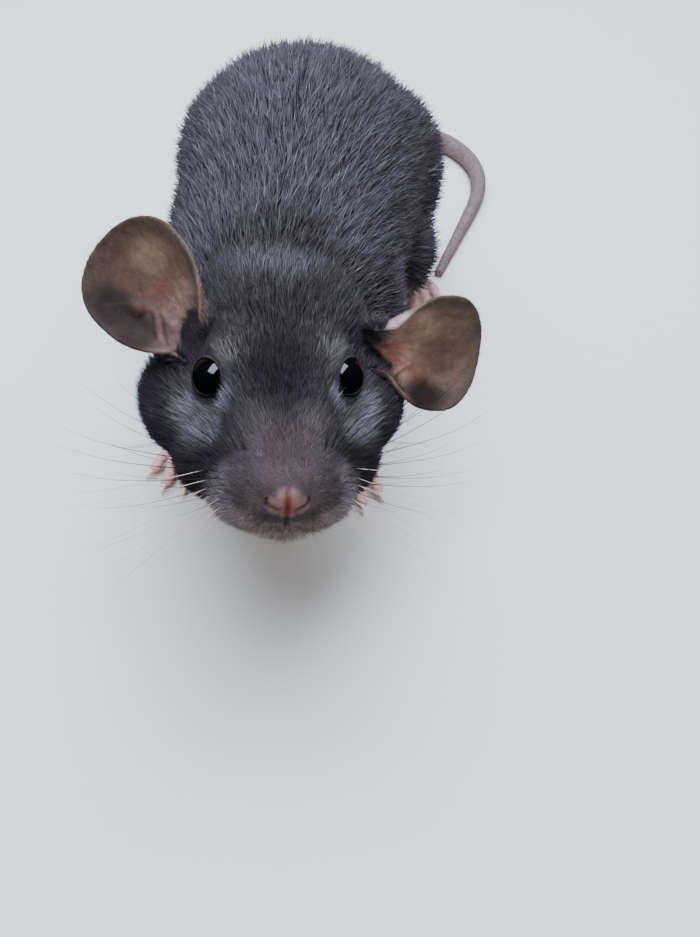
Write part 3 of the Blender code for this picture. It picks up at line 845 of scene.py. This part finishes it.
def make_skin():
    """One skin for all the flesh, and how near each of its points is to each bare part."""
    body = flesh()
    p = places(body.data)
    depth = coat_depth(p, seen_from(HEAD, p))
    move(body.data, p - normals(body.data) * depth[:, None])
    bare = {
        "ear": of_both(ear_pieces),
        "forefoot": of_both(foot_pieces, FOREFOOT),
        "hindfoot": of_both(foot_pieces, HINDFOOT),
        "tail": [tube("tail form", TAIL, around=32)],
        "nose": [ellipsoid("nose form", *NOSE, HEAD)],
    }
    copies = [new_object("copy", piece.data) for pieces in bare.values() for piece in pieces]
    skin = melted(joined("skin", [body, *copies]), SKIN_VOXEL, SKIN_SMOOTHING)
    p = places(skin.data)
    kept = seen_from(HEAD, p)[:, 1] < 6
    for kind in ("ear", "forefoot", "hindfoot", "tail"):
        kept |= distances(p, bare[kind], 1.5) < 1.4
    skin = thinned(skin, kept)
    mesh = skin.data
    for nose_reach, eye_reach in ((9.5, 5.6), (5.5, 4.6)):
        p = places(mesh)
        picked = far_from(seen_from(HEAD, p), FINE_NOSE) < nose_reach
        refined(mesh, picked | (apart(EYES, p, FINE_EYE) < eye_reach))
    p = lids(places(mesh))
    h = nose_and_mouth(seen_from(HEAD, p))
    p = put_back(HEAD, h)
    p[:, 2] = np.maximum(p[:, 2], 0)
    move(mesh, p)
    near = {kind: distances(p, pieces, 3) for kind, pieces in bare.items()}
    for pieces in bare.values():
        for piece in pieces:
            bpy.data.objects.remove(piece)
    return skin, near


def mixed(colour, other, share):
    """The colours, turned towards another by a share of 0 to 1."""
    return colour + (np.array(other) - colour) * share[:, None]


def blot(points, place, radii):
    """1 at the middle of a soft ellipsoid, 0 outside it."""
    far = np.sqrt((((points - np.array(place)) / np.array(radii, float)) ** 2).sum(1))
    return 1 - step(far, 0.45, 1.15)


def coat_colour(p, h):
    """The colour of the coat at places given in both frames."""
    colour = mixed(all_over(COAT, p), BACK, step(h[:, 1], 6, 24))
    colour = mixed(colour, BELLY, (1 - step(p[:, 2], 14, 26)) * step(p[:, 1], 0, 12))
    left = both_sides(h)
    for place, radii, other, strength in FACE_MARKINGS_AND_PAINTED_LIGHT:
        colour = mixed(colour, other, strength * blot(left, place, radii))
    dots = np.array([(y, z) for z, _ in WHISKER_ROWS for y in WHISKER_COLUMNS])
    muzzle = step(left[:, 0], 3, 4.5) * (1 - step(h[:, 1], -8, -6.5))
    colour = mixed(colour, DOT_COLOUR, 0.75 * (bell(along_line(h[:, 1:], dots), 0.36) * muzzle))
    for place, radii, other, strength in BODY_MARKINGS:
        colour = mixed(colour, other, strength * blot(p, place, radii))
    for across, high in on_lids(p):
        beside = 1 - step(across, LID_OPENING + 0.2, LID_OPENING + 0.65)
        colour = mixed(colour, LID_EDGE, 0.7 * beside * step(high, -1.5, 0))
    left = both_sides(p)
    colour = mixed(colour, WRIST_COLOUR, 1 - step(far_from(left, WRIST), 3, 9))
    return mixed(colour, ANKLE_COLOUR, 0.8 * (1 - step(far_from(left, ANKLE), 3, 10)))


def uneven(points, size):
    """A smooth random field of about -1 to 1, with patches of a given size."""
    rng = np.random.default_rng(int(size * 100))
    total = np.zeros(len(points))
    for _ in range(6):
        way = rng.normal(size=3)
        way *= rng.uniform(0.6, 1.5) / (size * np.linalg.norm(way))
        total += np.sin(points @ way * np.pi + rng.uniform(0, 6.28))
    return total / 3


def ear_colour(p, n):
    """Olive brown, darker to the rim, warm and pale in the bowl, with a few veins."""
    colour = all_over(EAR_COLOUR, p)
    for side, at in EARS.items():
        e = seen_from(at, p)
        mine = np.sign(seen_from(HEAD, p)[:, 0]) == side
        out = np.hypot(e[:, 0], e[:, 2] - 10) / 8.6
        behind = step((n @ np.array(at)[:3, :3])[:, 1], -0.1, 0.5)
        # The warm, pale bowl and root: partly the ear's own pink, partly painted glow of light through
        # it
        shade = mixed(colour, EAR_BOWL[side], 1 - step(e[:, 2] + 0.25 * np.abs(e[:, 0]), 2, 11))
        shade = mixed(shade, EAR_ROOT, (1 - step(e[:, 2], 1, 5)) * 0.7)
        shade = mixed(shade, EAR_RIM, step(out, 0.6, 1.0) * 0.75)
        for (across, along), (wide, high), other, strength in EAR_MARKINGS_AND_PAINTED_LIGHT[side]:
            far = np.hypot((side * e[:, 0] - across) / wide, (e[:, 2] - along) / high)
            shade = mixed(shade, other, strength * (1 - step(far, 0.35, 1.2)) * (1 - behind))
        for lean in VEIN_LEANS:
            line = lean * (e[:, 2] - 2) * (1 + 0.12 * np.sin(e[:, 2] * 0.9 + 5 * lean))
            vein = bell(e[:, 0] - line, 0.24) * (1 - step(e[:, 2], 9, 14)) * (1 - behind)
            shade = mixed(shade, EAR_VEIN, 0.3 * vein)
        shade = mixed(shade, EAR_BACK, behind * 0.8)
        shade = shade * np.exp(0.16 * uneven(e, 3.2) + 0.1 * uneven(e, 1.3))[:, None]
        colour = np.where(mine[:, None], shade, colour)
    return colour


def foot_colour(p, sizes):
    f = seen_from(foot_frame(sizes, 1), both_sides(p))
    top, toe, under = sizes["colours"]
    reach = min(s[0] for s in sizes["sole"])
    colour = mixed(all_over(top, p), toe, step(-f[:, 1], -reach * 0.55, -reach + 2.5))
    return mixed(colour, under, 0.8 * (1 - step(f[:, 2], 0.4, 1.7)))


def write(mesh, name, values):
    """Writes an attribute of the mesh's points: a colour, or one number each."""
    if values.ndim == 2:
        made = mesh.attributes.new(name, "FLOAT_COLOR", "POINT")
        colour = np.ones((len(values), 4), np.float32)
        colour[:, :3] = np.clip(values, 0, 1)
        made.data.foreach_set("color", colour.ravel())
    else:
        made = mesh.attributes.new(name, "FLOAT", "POINT")
        made.data.foreach_set("value", values.astype(np.float32))


skin, near = make_skin()


def along_tail(p):
    """Millimetres from the root of the tail."""
    line = np.array(TAIL)[:, :3]
    lengths = np.concatenate([[0], np.cumsum(np.linalg.norm(np.diff(line, axis=0), axis=1))])
    found = np.zeros(len(p))
    behind = np.nonzero(p[:, 1] > 60)[0]
    for part in np.array_split(behind, len(behind) // 4000 + 1):
        far = ((p[part][:, None] - line[None]) ** 2).sum(2)
        k = np.clip(far.argmin(1), 1, len(line) - 2)
        way = unit(line[k + 1] - line[k - 1])
        found[part] = lengths[k] + ((p[part] - line[k]) * way).sum(1)
    return found


def paint_skin():
    """Paints the skin, and tells how far each bare part covers each of its points."""
    mesh = skin.data
    p, n = places(mesh), normals(mesh)
    h = seen_from(HEAD, p)
    cover = {kind: 1 - step(far, 0.25, 0.9) for kind, far in near.items()}
    for at in EARS.values():
        e = seen_from(at, p)
        bare = cover["ear"] * step(e[:, 2] - 0.25 * e[:, 1], -0.4, 1.2)
        cover["ear"] = np.where(far_from(e, (0, -3, 8)) < 13, bare, cover["ear"])
    cover["forefoot"] *= 1 - step(p[:, 2], 3.6, 5.4)
    cover["hindfoot"] *= 1 - step(p[:, 2], 5.2, 8.0)
    wide = both_sides(h)
    pad = np.zeros(len(p))
    for (x, z), (across, high) in NOSE_PAD:
        far = np.hypot((wide[:, 0] - x) / across, (wide[:, 2] - z) / high)
        pad = np.maximum(pad, 1 - step(far, 0.55, 1.15))
    cover["nose"] = pad * step(-h[:, 1], 16.3, 17.2)
    groove = bell(h[:, 0], 0.75) * cover["nose"] * (1 - step(h[:, 2], -6.0, -4.2))
    colour = mixed(coat_colour(p, h) * 0.65, NOSE_COLOUR, cover["nose"])
    colour = mixed(colour, NOSE_GROOVE, groove * 0.9)
    shades = {
        "ear": ear_colour(p, n),
        "tail": mixed(all_over(TAIL_COLOUR, p), TAIL_TOP, step(n[:, 2], -0.2, 0.8) * 0.8),
        "forefoot": foot_colour(p, FOREFOOT),
        "hindfoot": foot_colour(p, HINDFOOT),
    }
    for kind, shade in shades.items():
        share = cover[kind][:, None]
        colour = colour * (1 - share) + shade * share
    rough = np.full(len(p), COAT_ROUGHNESS)
    for kind, value in ROUGHNESS.items():
        rough = rough * (1 - cover[kind]) + value * cover[kind]
    for across, high in on_lids(p):
        margin = 1 - step(across, LID_OPENING + 0.1, LID_OPENING + 0.45)
        colour = mixed(colour, LID_MARGIN, margin * step(high, 0, 0.5))
    write(mesh, "tint", colour)
    write(mesh, "rough", rough)
    write(mesh, "along", np.where(cover["tail"] > 0.02, along_tail(p), 0))
    return cover


cover = paint_skin()


# Coat


def unwrapped(mesh):
    """Lays the skin out flat in a map of its own."""
    bpy.context.view_layer.objects.active = skin
    skin.select_set(True)
    bpy.ops.object.mode_set(mode="EDIT")
    bpy.ops.mesh.select_all(action="SELECT")
    bpy.ops.uv.smart_project(angle_limit=math.radians(66), island_margin=0.002)
    bpy.ops.object.mode_set(mode="OBJECT")
    mesh.uv_layers.active.name = "OFBake"


# The place before the nose from which the head's coat spreads, in its frame
COAT_STARTS = (0, -24, -4.5)


def on_surface(way, n):
    """Ways laid along the skin."""
    return unit(way - n * (way * n).sum(1)[:, None])


def raised(way, other, angle):
    """Ways turned by an angle towards others that stand square to them."""
    return way * np.cos(angle)[:, None] + other * np.sin(angle)[:, None]


def lie(p, h, n):
    """The way that the coat lies: from the nose back over the head, along the body, down the legs."""
    side = np.sign(p[:, 0])
    flank = step(np.abs(p[:, 0]), 3, 20)
    way = np.stack([0.12 * side, np.ones(len(p)), -0.45 * flank], 1)
    limb = (1 - step(p[:, 2], 12, 24)) * (1 - step(p[:, 1], 14, 26)) * step(np.abs(p[:, 0]), 8, 12)
    way = mixed(way, (0, -0.7, -0.75), limb)
    from_nose = unit(h - np.array(COAT_STARTS)) @ np.array(HEAD)[:3, :3].T
    head = (1 - step(h[:, 1], 5, 20))[:, None]
    return on_surface(way * (1 - head) + from_nose * head, n)


# The coat: roots in a square millimetre times a tuft's length and width, and at the most, which
# tufts are short, the faces of a piece, and the share of pale tufts, partly light-tipped hairs and
# partly painted sheen
COAT_SEED = 5934
COAT_DENSITY = 7.0
MOST_DENSE = 34
SHORT = 2.4
MOST_FACES = 195000
PALE_AND_SHEEN_SHARE = 0.12
# The longer hair along the muzzle's sides and its chin, in the head's frame: middle and reach
FRINGES = (((8, -13, -10.5), (3.6, 5, 3.6)), ((0, -16, -13.5), (7, 4, 2.6)))
# The down: its roots in a square millimetre, its lengths on feet, ears and tail, its width, and the
# angle at which it stands
DOWN_DENSITY = 5
DOWN_LONG = {"feet": 0.85, "ear": 0.8, "tail": 1.3}
DOWN_WIDTH = 0.055
DOWN_STAND = 0.32
# The faces of a tuft: a short one has a foot of three points and a tip, a long one also bends
SHORT_FACES = np.array([(0, 1, 3), (1, 2, 3), (2, 0, 3), (0, 2, 1)])
LONG_SIDES = [(0, 1, 4), (0, 4, 3), (1, 2, 5), (1, 5, 4), (2, 0, 3), (2, 3, 5)]
LONG_FACES = np.array([*LONG_SIDES, (3, 4, 6), (4, 5, 6), (5, 3, 6), (0, 2, 1)])
# The side of a tuft's patch on the map
PATCH = 0.003


def coat_sizes(p, h):
    """Length, width and the angle at which it stands from the skin, for a tuft at each place."""
    left = both_sides(h)
    back = h[:, 1]
    long = 1.3 + 1.4 * step(back, -16, -4) + 1.2 * step(back, -2, 10) + 1.7 * step(back, 12, 28)
    fringe = np.maximum(*(blot(left, *sizes) for sizes in FRINGES))
    long += 0.7 * fringe
    long *= 0.5 + 0.5 * step(apart(EYES, p), 3.1, 5.6)
    long *= 0.44 + 0.56 * step(apart(EARS, p, (0, -1, 2)), 4, 8)
    long *= 0.5 + 0.5 * step(far_from(h, NOSE[0]), 2.5, 6)
    long *= 0.3 + 0.7 * near_feet(p, 3, 16)
    wide = (0.05 + 0.03 * long) * (0.85 + 0.15 * step(back, 8, 20))
    stand = 0.3 + 0.32 * step(h[:, 2], 4, 10) * (1 - step(back, 16, 30)) + 0.12 * step(back, 8, 24)
    return long, wide, stand + 0.2 * fringe


def furred():
    """1 where the skin has its coat, 0 where it is bare."""
    p = places(skin.data)
    share = np.ones(len(p))
    for part in cover.values():
        share *= 1 - part
    for across, high in on_lids(p):
        clear = step(across, LID_OPENING + 0.05, LID_OPENING + 0.4)
        share *= np.where(high > 0, clear, 1)
    return share


def rooted(rng, share, density):
    """Random roots on the skin where the share is over half, in order from nose to tail.

    Gives their places, the skin's normals, the places on its map, and its colours there.
    """
    mesh = skin.data
    mesh.calc_loop_triangles()
    corners = read(mesh.loop_triangles, "vertices", kind=np.int32)
    loops = read(mesh.loop_triangles, "loops", kind=np.int32)
    flat = read(mesh.uv_layers["OFBake"].data, "uv", 2)
    tints = read(mesh.attributes["tint"].data, "color", 4)[:, :3]
    p, n = places(mesh), normals(mesh)
    a, b, c = (p[corners[:, k]] for k in range(3))
    area = np.linalg.norm(np.cross(b - a, c - a), axis=1) / 2
    drawn = rng.poisson(area * density((a + b + c) / 3))
    face = np.repeat(np.arange(len(corners)), drawn)
    u, v = rng.random(len(face)), rng.random(len(face))
    over = u + v > 1
    u[over], v[over] = 1 - u[over], 1 - v[over]
    weights = np.stack([1 - u - v, u, v], 1)[:, :, None]

    def at_roots(values, index):
        return (values[index[face]] * weights).sum(1)

    keep = at_roots(share[:, None], corners)[:, 0] > 0.5
    pairs = ((p, corners), (n, corners), (flat, loops), (tints, corners))
    found = [at_roots(*pair) for pair in pairs]
    order = np.argsort(seen_from(HEAD, found[0])[keep, 1])
    root, normal, place, tint = (values[keep][order] for values in found)
    return root, unit(normal), place, tint


def grow(rng, root, normal, place, way, sizes, colour, bends):
    """The points, colours and map places of one tuft at each root."""
    count = len(root)
    long, wide, stand = sizes
    long = long * rng.uniform(0.7, 1.25, count)
    stand = stand * rng.uniform(0.55, 1.5, count)
    way = on_surface(way, normal)
    side = np.cross(normal, way)
    turn = rng.normal(0, 0.2, count)
    way, side = raised(way, side, turn), raised(side, -way, turn)
    side = raised(side, normal, rng.normal(0, 0.35, count))
    half = (wide * rng.uniform(0.75, 1.25, count) / 2)[:, None]
    base = root - normal * np.minimum(0.12, long * 0.12)[:, None]
    mid = base + raised(way, normal, stand * 1.25) * (long * 0.5)[:, None]
    tip = mid + raised(way, normal, stand * 0.7) * (long * 0.5)[:, None]
    corners = (-side * half, side * half, normal * half * 1.1)
    feet = [base + corner for corner in corners]
    mids = [mid + corner * 0.8 for corner in corners]
    spread = np.where(long < 1.7, 0.28, 0.24)
    colour = colour * np.exp(rng.normal(0, 1, count) * spread - spread**2 / 2)[:, None]
    # Pale tufts: partly light-tipped hairs, partly painted streaks of sheen
    pale = (rng.random(count) < PALE_AND_SHEEN_SHARE)[:, None]
    colour = np.where(pale, colour * 1.6 + 0.006, colour)
    points = np.stack([*feet, *(mids if bends else []), tip], 1)
    points[:, :, 2] = np.maximum(points[:, :, 2], 0.03)
    heights = np.array([0, 0, 0, 0.5, 0.5, 0.5, 1] if bends else [0, 0, 0, 1])
    # Each tuft darker toward its root as painted shade inside the coat, and lighter toward its tip
    colours = colour[:, None, :] * (0.55 + 0.8 * heights)[None, :, None]
    across = np.array([0, 1, 0.5, 0, 1, 0.5, 0.5] if bends else [0, 1, 0.5, 0.5])
    spots = place[:, None, :] + (np.stack([across, heights], 1) - 0.5)[None] * PATCH
    return points, colours, np.clip(spots, 0, 1)


def tuft_piece(name, points, colours, spots):
    """All tufts of a piece as one mesh, with their colours and their places on the map."""
    count, corners = points.shape[:2]
    pattern = LONG_FACES if corners == 7 else SHORT_FACES
    faces = (pattern[None] + corners * np.arange(count)[:, None, None]).reshape(-1, 3)
    mesh = bpy.data.meshes.new(name)
    mesh.vertices.add(corners * count)
    mesh.vertices.foreach_set("co", (points.reshape(-1, 3) * MM).astype(np.float32).ravel())
    mesh.loops.add(faces.size)
    mesh.loops.foreach_set("vertex_index", faces.ravel().astype(np.int32))
    mesh.polygons.add(len(faces))
    mesh.polygons.foreach_set("loop_start", np.arange(0, faces.size, 3, dtype=np.int32))
    mesh.update(calc_edges=True)
    mesh.shade_smooth()
    write(mesh, "tint", colours.reshape(-1, 3))
    flat = spots.reshape(-1, 2)[faces.ravel()].astype(np.float32)
    mesh.uv_layers.new(name="OFBake")
    mesh.uv_layers["OFBake"].data.foreach_set("uv", flat.ravel())
    return new_object(name, mesh)


def make_coat():
    """The coat's tufts: short ones on the muzzle and round the bare parts, and long ones."""
    rng = np.random.default_rng(COAT_SEED)

    def density(p):
        long, wide, _ = coat_sizes(p, seen_from(HEAD, p))
        return np.minimum(COAT_DENSITY / (long * wide), MOST_DENSE)

    root, normal, place, _ = rooted(rng, furred(), density)
    h = seen_from(HEAD, root)
    bends = coat_sizes(root, h)[0] > SHORT
    pieces = []
    for kind, picked, pattern in (("short", ~bends, SHORT_FACES), ("long", bends, LONG_FACES)):
        picked = np.nonzero(picked)[0]
        parts = math.ceil(len(picked) * len(pattern) / MOST_FACES)
        for k, chosen in enumerate(np.array_split(picked, parts)):
            p, n, seen = root[chosen], normal[chosen], h[chosen]
            colour = coat_colour(p, seen)
            way, sizes = lie(p, seen, n), coat_sizes(p, seen)
            made = grow(rng, p, n, place[chosen], way, sizes, colour, kind == "long")
            pieces.append(tuft_piece(f"coat_{kind}_{k + 1}", *made))
    return pieces


def make_down():
    """The sparse fine hair of the ears, the tops of the feet and the tail."""
    rng = np.random.default_rng(COAT_SEED + 1)
    p, n = places(skin.data), normals(skin.data)
    top = step(n[:, 2], -0.1, 0.4)
    feet = np.maximum(cover["forefoot"], cover["hindfoot"]) * top * step(p[:, 2], 0.8, 1.6)
    share = np.maximum(np.maximum(cover["ear"], feet), cover["tail"] * step(p[:, 2], 0.3, 0.9))
    root, normal, place, tint = rooted(rng, share, lambda spots: np.full(len(spots), DOWN_DENSITY))
    way = all_over((0, -1, -0.2), root)
    long = np.full(len(root), DOWN_LONG["feet"])
    colour = tint * 1.5 + 0.02
    head = seen_from(HEAD, root)[:, 1] < 30
    for at in EARS.values():
        e = seen_from(at, root)
        mine = (far_from(e, (0, -3, 9)) < 13) & head
        outward = np.stack([e[:, 0] * 0.6, np.zeros(len(e)), e[:, 2] - 2], 1)
        way = np.where(mine[:, None], outward @ np.array(at)[:3, :3].T, way)
        long = np.where(mine, DOWN_LONG["ear"], long)
    line = np.array(TAIL)[:, :3]
    behind = root[:, 1] > 74
    nearest = ((root[behind][:, None] - line[None, ::4]) ** 2).sum(2).argmin(1) * 4
    on_tail = np.sqrt(((root[behind] - line[nearest]) ** 2).sum(1)) < 5
    along = line[np.minimum(nearest + 4, len(line) - 1)] - line[np.maximum(nearest - 4, 0)]
    way[behind] = np.where(on_tail[:, None], along, way[behind])
    long[behind] = np.where(on_tail, DOWN_LONG["tail"], long[behind])
    sizes = (long, np.full(len(root), DOWN_WIDTH), np.full(len(root), DOWN_STAND))
    made = grow(rng, root, normal, place, way, sizes, colour, False)
    return [tuft_piece("down", *made)]


# Whiskers and bristles

WHISKER_SEED = 17
WHISKER_TIP = 0.015
# How deep a whisker starts in the skin
WHISKER_SUNK = 0.3
# Along a whisker, how far and how much it has bent, as shares of its length
WHISKER_BEND = ((0.35, 0), (0.7, 0.06), (1, 0.2))


def hair(points, start, end, sides=4, steps=9):
    """A tapering hair along a smooth curve, as the points of its rings."""
    line = fine(points, steps)
    rings = []
    for k in range(steps):
        along = line[min(k + 1, steps - 1)] - line[max(k - 1, 0)]
        along /= np.linalg.norm(along)
        across = np.cross(along, (0.3, 0.2, 1))
        across /= np.linalg.norm(across)
        up = np.cross(across, along)
        radius = start + (end - start) * k / (steps - 1)
        turns = (2 * np.pi * np.arange(sides) / sides)[:, None]
        rings.append(line[k] + radius * (np.cos(turns) * across + np.sin(turns) * up))
    return rings


def hair_piece(name, hairs):
    bm = bmesh.new()
    for rings in hairs:
        bridge(bm, [[Vector(point) * MM for point in ring] for ring in rings])
    bmesh.ops.recalc_face_normals(bm, faces=bm.faces)
    piece = to_object(name, bm)
    piece.data.shade_smooth()
    return piece


def make_whiskers():
    """Pale and dark whiskers in rows, and the bristles of muzzle, chin, brows and cheeks."""
    rng = np.random.default_rng(WHISKER_SEED)
    tree = tree_of(skin.data)
    turn = np.array(HEAD)[:3, :3]
    pale, dark = [], []

    def plant(group, thick, place, way, long, droop):
        """Adds a hair that stands on the skin nearest to a place, and bends over."""
        spot = put_back(HEAD, np.array([place], float))[0]
        root = np.array(tree.find_nearest(Vector(spot))[0])
        way = turn @ np.array(way, float)
        way /= np.linalg.norm(way)
        droop = turn @ np.array(droop, float)
        points = [root - way * WHISKER_SUNK]
        for along, bent in WHISKER_BEND:
            points.append(root + way * long * along + droop * long * bent)
        group.append(hair(points, thick, WHISKER_TIP))

    for side in SIDES.values():
        for row, (z, share) in enumerate(WHISKER_ROWS):
            low = max(row - 2, 0)
            for column, y in enumerate(WHISKER_COLUMNS):
                long = (8 + column * 4.2) * rng.uniform(0.85, 1.1) * share
                back = -0.5 + (0.2 - 0.03 * low) * column - 0.1 * low
                out = side * (1.0 + 0.1 * rng.normal())
                way = (out, back, 0.5 - 0.3 * row + 0.08 * rng.normal())
                group, thick, growth = (pale, 0.035, 0.006) if low else (dark, 0.05, 0.007)
                droop = (side * -0.1, 1.0, -0.25)
                plant(group, thick + growth * column, (side * 9, y, z), way, long, droop)
        # Bristles on top of the muzzle, under the chin, over the eyes and on the cheeks
        for k in range(9):
            place = (side * (5.0 + 0.42 * k), -13.2 + 0.35 * k, -2.6 - 0.3 * k + 0.5 * (k % 2))
            way = (side * (0.25 + 0.07 * k), 0.75, 0.62 - 0.05 * k)
            plant(dark, 0.09, place, way, rng.uniform(6, 10), (side * 0.5, 0.6, -0.8))
        for k in range(14):
            place = (side * rng.uniform(0.5, 7), rng.uniform(-16, -12), -14.5)
            way = (side * rng.uniform(0.1, 0.9), rng.uniform(-0.6, 0.2), -1.0)
            plant(pale, 0.03, place, way, rng.uniform(2, 5), (side * 0.1, 1.0, 0.2))
        for k in range(5):
            place = (side * (6.2 + 0.45 * k), -0.8 + 0.4 * k, 6.5)
            way = (side * (0.45 + 0.1 * k), 0.3, 1.0)
            plant(dark, 0.055, place, way, 5 + 0.9 * k, (0, 1, -0.4))
        for k in range(2):
            place = (side * 12, 5 + 2 * k, -9 - k)
            plant(dark, 0.05, place, (side * 1.0, 0.1, -0.25), 8, (0, 0.8, -0.3))
    return hair_piece("whiskers_pale", pale), hair_piece("whiskers_dark", dark)


# Materials

# The scale of the fine grain of claws and whiskers
GRAIN = 3000


def set_inputs(made, values):
    """Sets a node's inputs, where an underscore in a name stands for a space."""
    for key, value in values.items():
        made.inputs[key.replace("_", " ")].default_value = value


def node(tree, kind, **values):
    made = tree.nodes.new(f"ShaderNode{kind}")
    set_inputs(made, values)
    return made


def join(tree, start, output, end, entry):
    tree.links.new(start.outputs[output], end.inputs[entry])


def attribute(tree, name):
    made = node(tree, "Attribute")
    made.attribute_name = name
    return made


def sum_node(tree, kind, operation, start, output):
    """A node that reckons with the output of another one."""
    made = node(tree, kind)
    made.operation = operation
    join(tree, start, output, made, 0)
    return made


def material(name, colour, roughness, **more):
    made = bpy.data.materials.new(name)
    made.use_nodes = True
    shader = made.node_tree.nodes["Principled BSDF"]
    set_inputs(shader, {"Base_Color": (*colour, 1), "Roughness": roughness, **more})
    return made, made.node_tree, shader


def noise(tree, scale, detail=3):
    made = node(tree, "TexNoise", Scale=scale, Detail=detail)
    join(tree, node(tree, "TexCoord"), "Object", made, "Vector")
    return made


def tinted(tree, shader, scale, low, high):
    """The painted colour, a little uneven."""
    spread = node(tree, "MapRange", From_Min=0.3, From_Max=0.7, To_Min=low, To_Max=high)
    join(tree, noise(tree, scale), "Fac", spread, "Value")
    times = sum_node(tree, "VectorMath", "SCALE", attribute(tree, "tint"), "Color")
    join(tree, spread, "Result", times, "Scale")
    join(tree, times, 0, shader, "Base Color")


def bumped(tree, shader, scale, strength, distance):
    """A fine grain as a bump."""
    bump = node(tree, "Bump", Strength=strength, Distance=distance)
    join(tree, noise(tree, scale, 4), "Fac", bump, "Height")
    join(tree, bump, "Normal", shader, "Normal")
    return bump


def grained(name, colour, roughness, strength, distance, **more):
    """A plain material with a fine grain."""
    made, tree, shader = material(name, colour, roughness, **more)
    bumped(tree, shader, GRAIN, strength, distance)
    return made


def skin_material():
    """The painted skin, with a fine grain, the rings of the tail and its own roughness."""
    soft = {"Subsurface_Weight": 0.15, "Subsurface_Scale": 0.0008, "Specular_IOR_Level": 0.3}
    made, tree, shader = material("skin", (0.3, 0.2, 0.2), 0.5, **soft)
    tinted(tree, shader, 900, 0.8, 1.2)
    grain = bumped(tree, shader, 2600, 0.5, 0.0001)
    rings = sum_node(tree, "Math", "MULTIPLY", attribute(tree, "along"), "Fac")
    rings.inputs[1].default_value = 2 * math.pi / TAIL_RING
    ringed = node(tree, "Bump", Strength=0.6, Distance=0.00012)
    join(tree, sum_node(tree, "Math", "SINE", rings, 0), 0, ringed, "Height")
    join(tree, grain, "Normal", ringed, "Normal")
    join(tree, ringed, "Normal", shader, "Normal")
    join(tree, attribute(tree, "rough"), "Fac", shader, "Roughness")
    return made


def coat_material():
    made, tree, shader = material("coat", (0.04, 0.04, 0.05), 0.55, Specular_IOR_Level=0.12)
    tinted(tree, shader, 260, 0.85, 1.15)
    return made


def wear(obj, look):
    obj.data.materials.clear()
    obj.data.materials.append(look)


unwrapped(skin.data)
coat = make_coat() + make_down()
whiskers = make_whiskers()
claws = joined("claws", of_both(claw_pieces, FOREFOOT) + of_both(claw_pieces, HINDFOOT))
pale, dark = whiskers
wear(skin, skin_material())
wear(claws, grained("claw", (0.62, 0.5, 0.44), 0.32, 0.2, 0.00005))
wear(pale, grained("pale whisker", (0.5, 0.43, 0.36), 0.45, 0.1, 0.00002))
wear(dark, grained("dark whisker", (0.012, 0.01, 0.011), 0.6, 0.1, 0.00002, Specular_IOR_Level=0.1))
skin.data.shade_smooth()
claws.data.shade_smooth()

coat_look = coat_material()
eye_look, _, _ = material("eye", (0.0015, 0.0015, 0.002), 0.03, Specular_IOR_Level=0.4)
eyes = []
for name, side in SIDES.items():
    ball = ellipsoid(f"eyeball_{name}", (0, 0, 0), (EYE_RADIUS,) * 3, EYES[side], rings=28)
    ball.data.shade_smooth()
    wear(ball, eye_look)
    eyes.append(ball)
    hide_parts(f"eye_{name}")

for piece in coat:
    wear(piece, coat_look)

for piece in (skin, claws, *coat, *whiskers, *eyes):
    piece.data.transform(Matrix.Translation(STAND))
    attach(piece, "root")
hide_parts(*(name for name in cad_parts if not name.startswith("eye")))

# Floor and light

FLOOR_REACH = 3
# The place that all lights face, and each light's place, size, power and colour, in metres and
# watts. Only the glint shows in the eyes
LIT_PLACE = (0, -0.05, 0.03)
LIGHTS = {
    "window": ((-0.05, 0.33, 0.54), (0.8, 0.4), 10, (0.82, 0.91, 1)),
    "glint": ((-0.02, -0.04, 0.5), (0.48, 0.28), 6, (0.72, 0.8, 1)),
    "front": ((0.25, -1.2, 0.9), (1, 1), 9.5, (1, 0.93, 0.88)),
}
SKY_COLOUR = (1, 0.98, 0.97, 1)
SKY_STRENGTH = 0.42

floor_mesh = bpy.data.meshes.new("floor")
reach = FLOOR_REACH
corners = [(-reach, -reach, 0), (reach, -reach, 0), (reach, reach, 0), (-reach, reach, 0)]
floor_mesh.from_pydata(corners, [], [(0, 1, 2, 3)])
floor = new_object("floor", floor_mesh)
wear(floor, material("floor", (0.52, 0.515, 0.51), 0.8)[0])

for name, (place, size, power, colour) in LIGHTS.items():
    light = bpy.data.lights.new(name, "AREA")
    light.shape = "RECTANGLE"
    light.size, light.size_y = size
    light.energy = power
    light.color = colour
    lamp = new_object(name, light)
    lamp.location = place
    lamp.rotation_euler = (Vector(LIT_PLACE) - Vector(place)).to_track_quat("-Z", "Y").to_euler()
for name in ("front", "window", "floor"):
    bpy.data.objects[name].visible_glossy = False
world = bpy.data.worlds.new("studio")
world.use_nodes = True
set_inputs(world.node_tree.nodes["Background"], {"Color": SKY_COLOUR, "Strength": SKY_STRENGTH})
world.cycles_visibility.glossy = False
bpy.context.scene.world = world
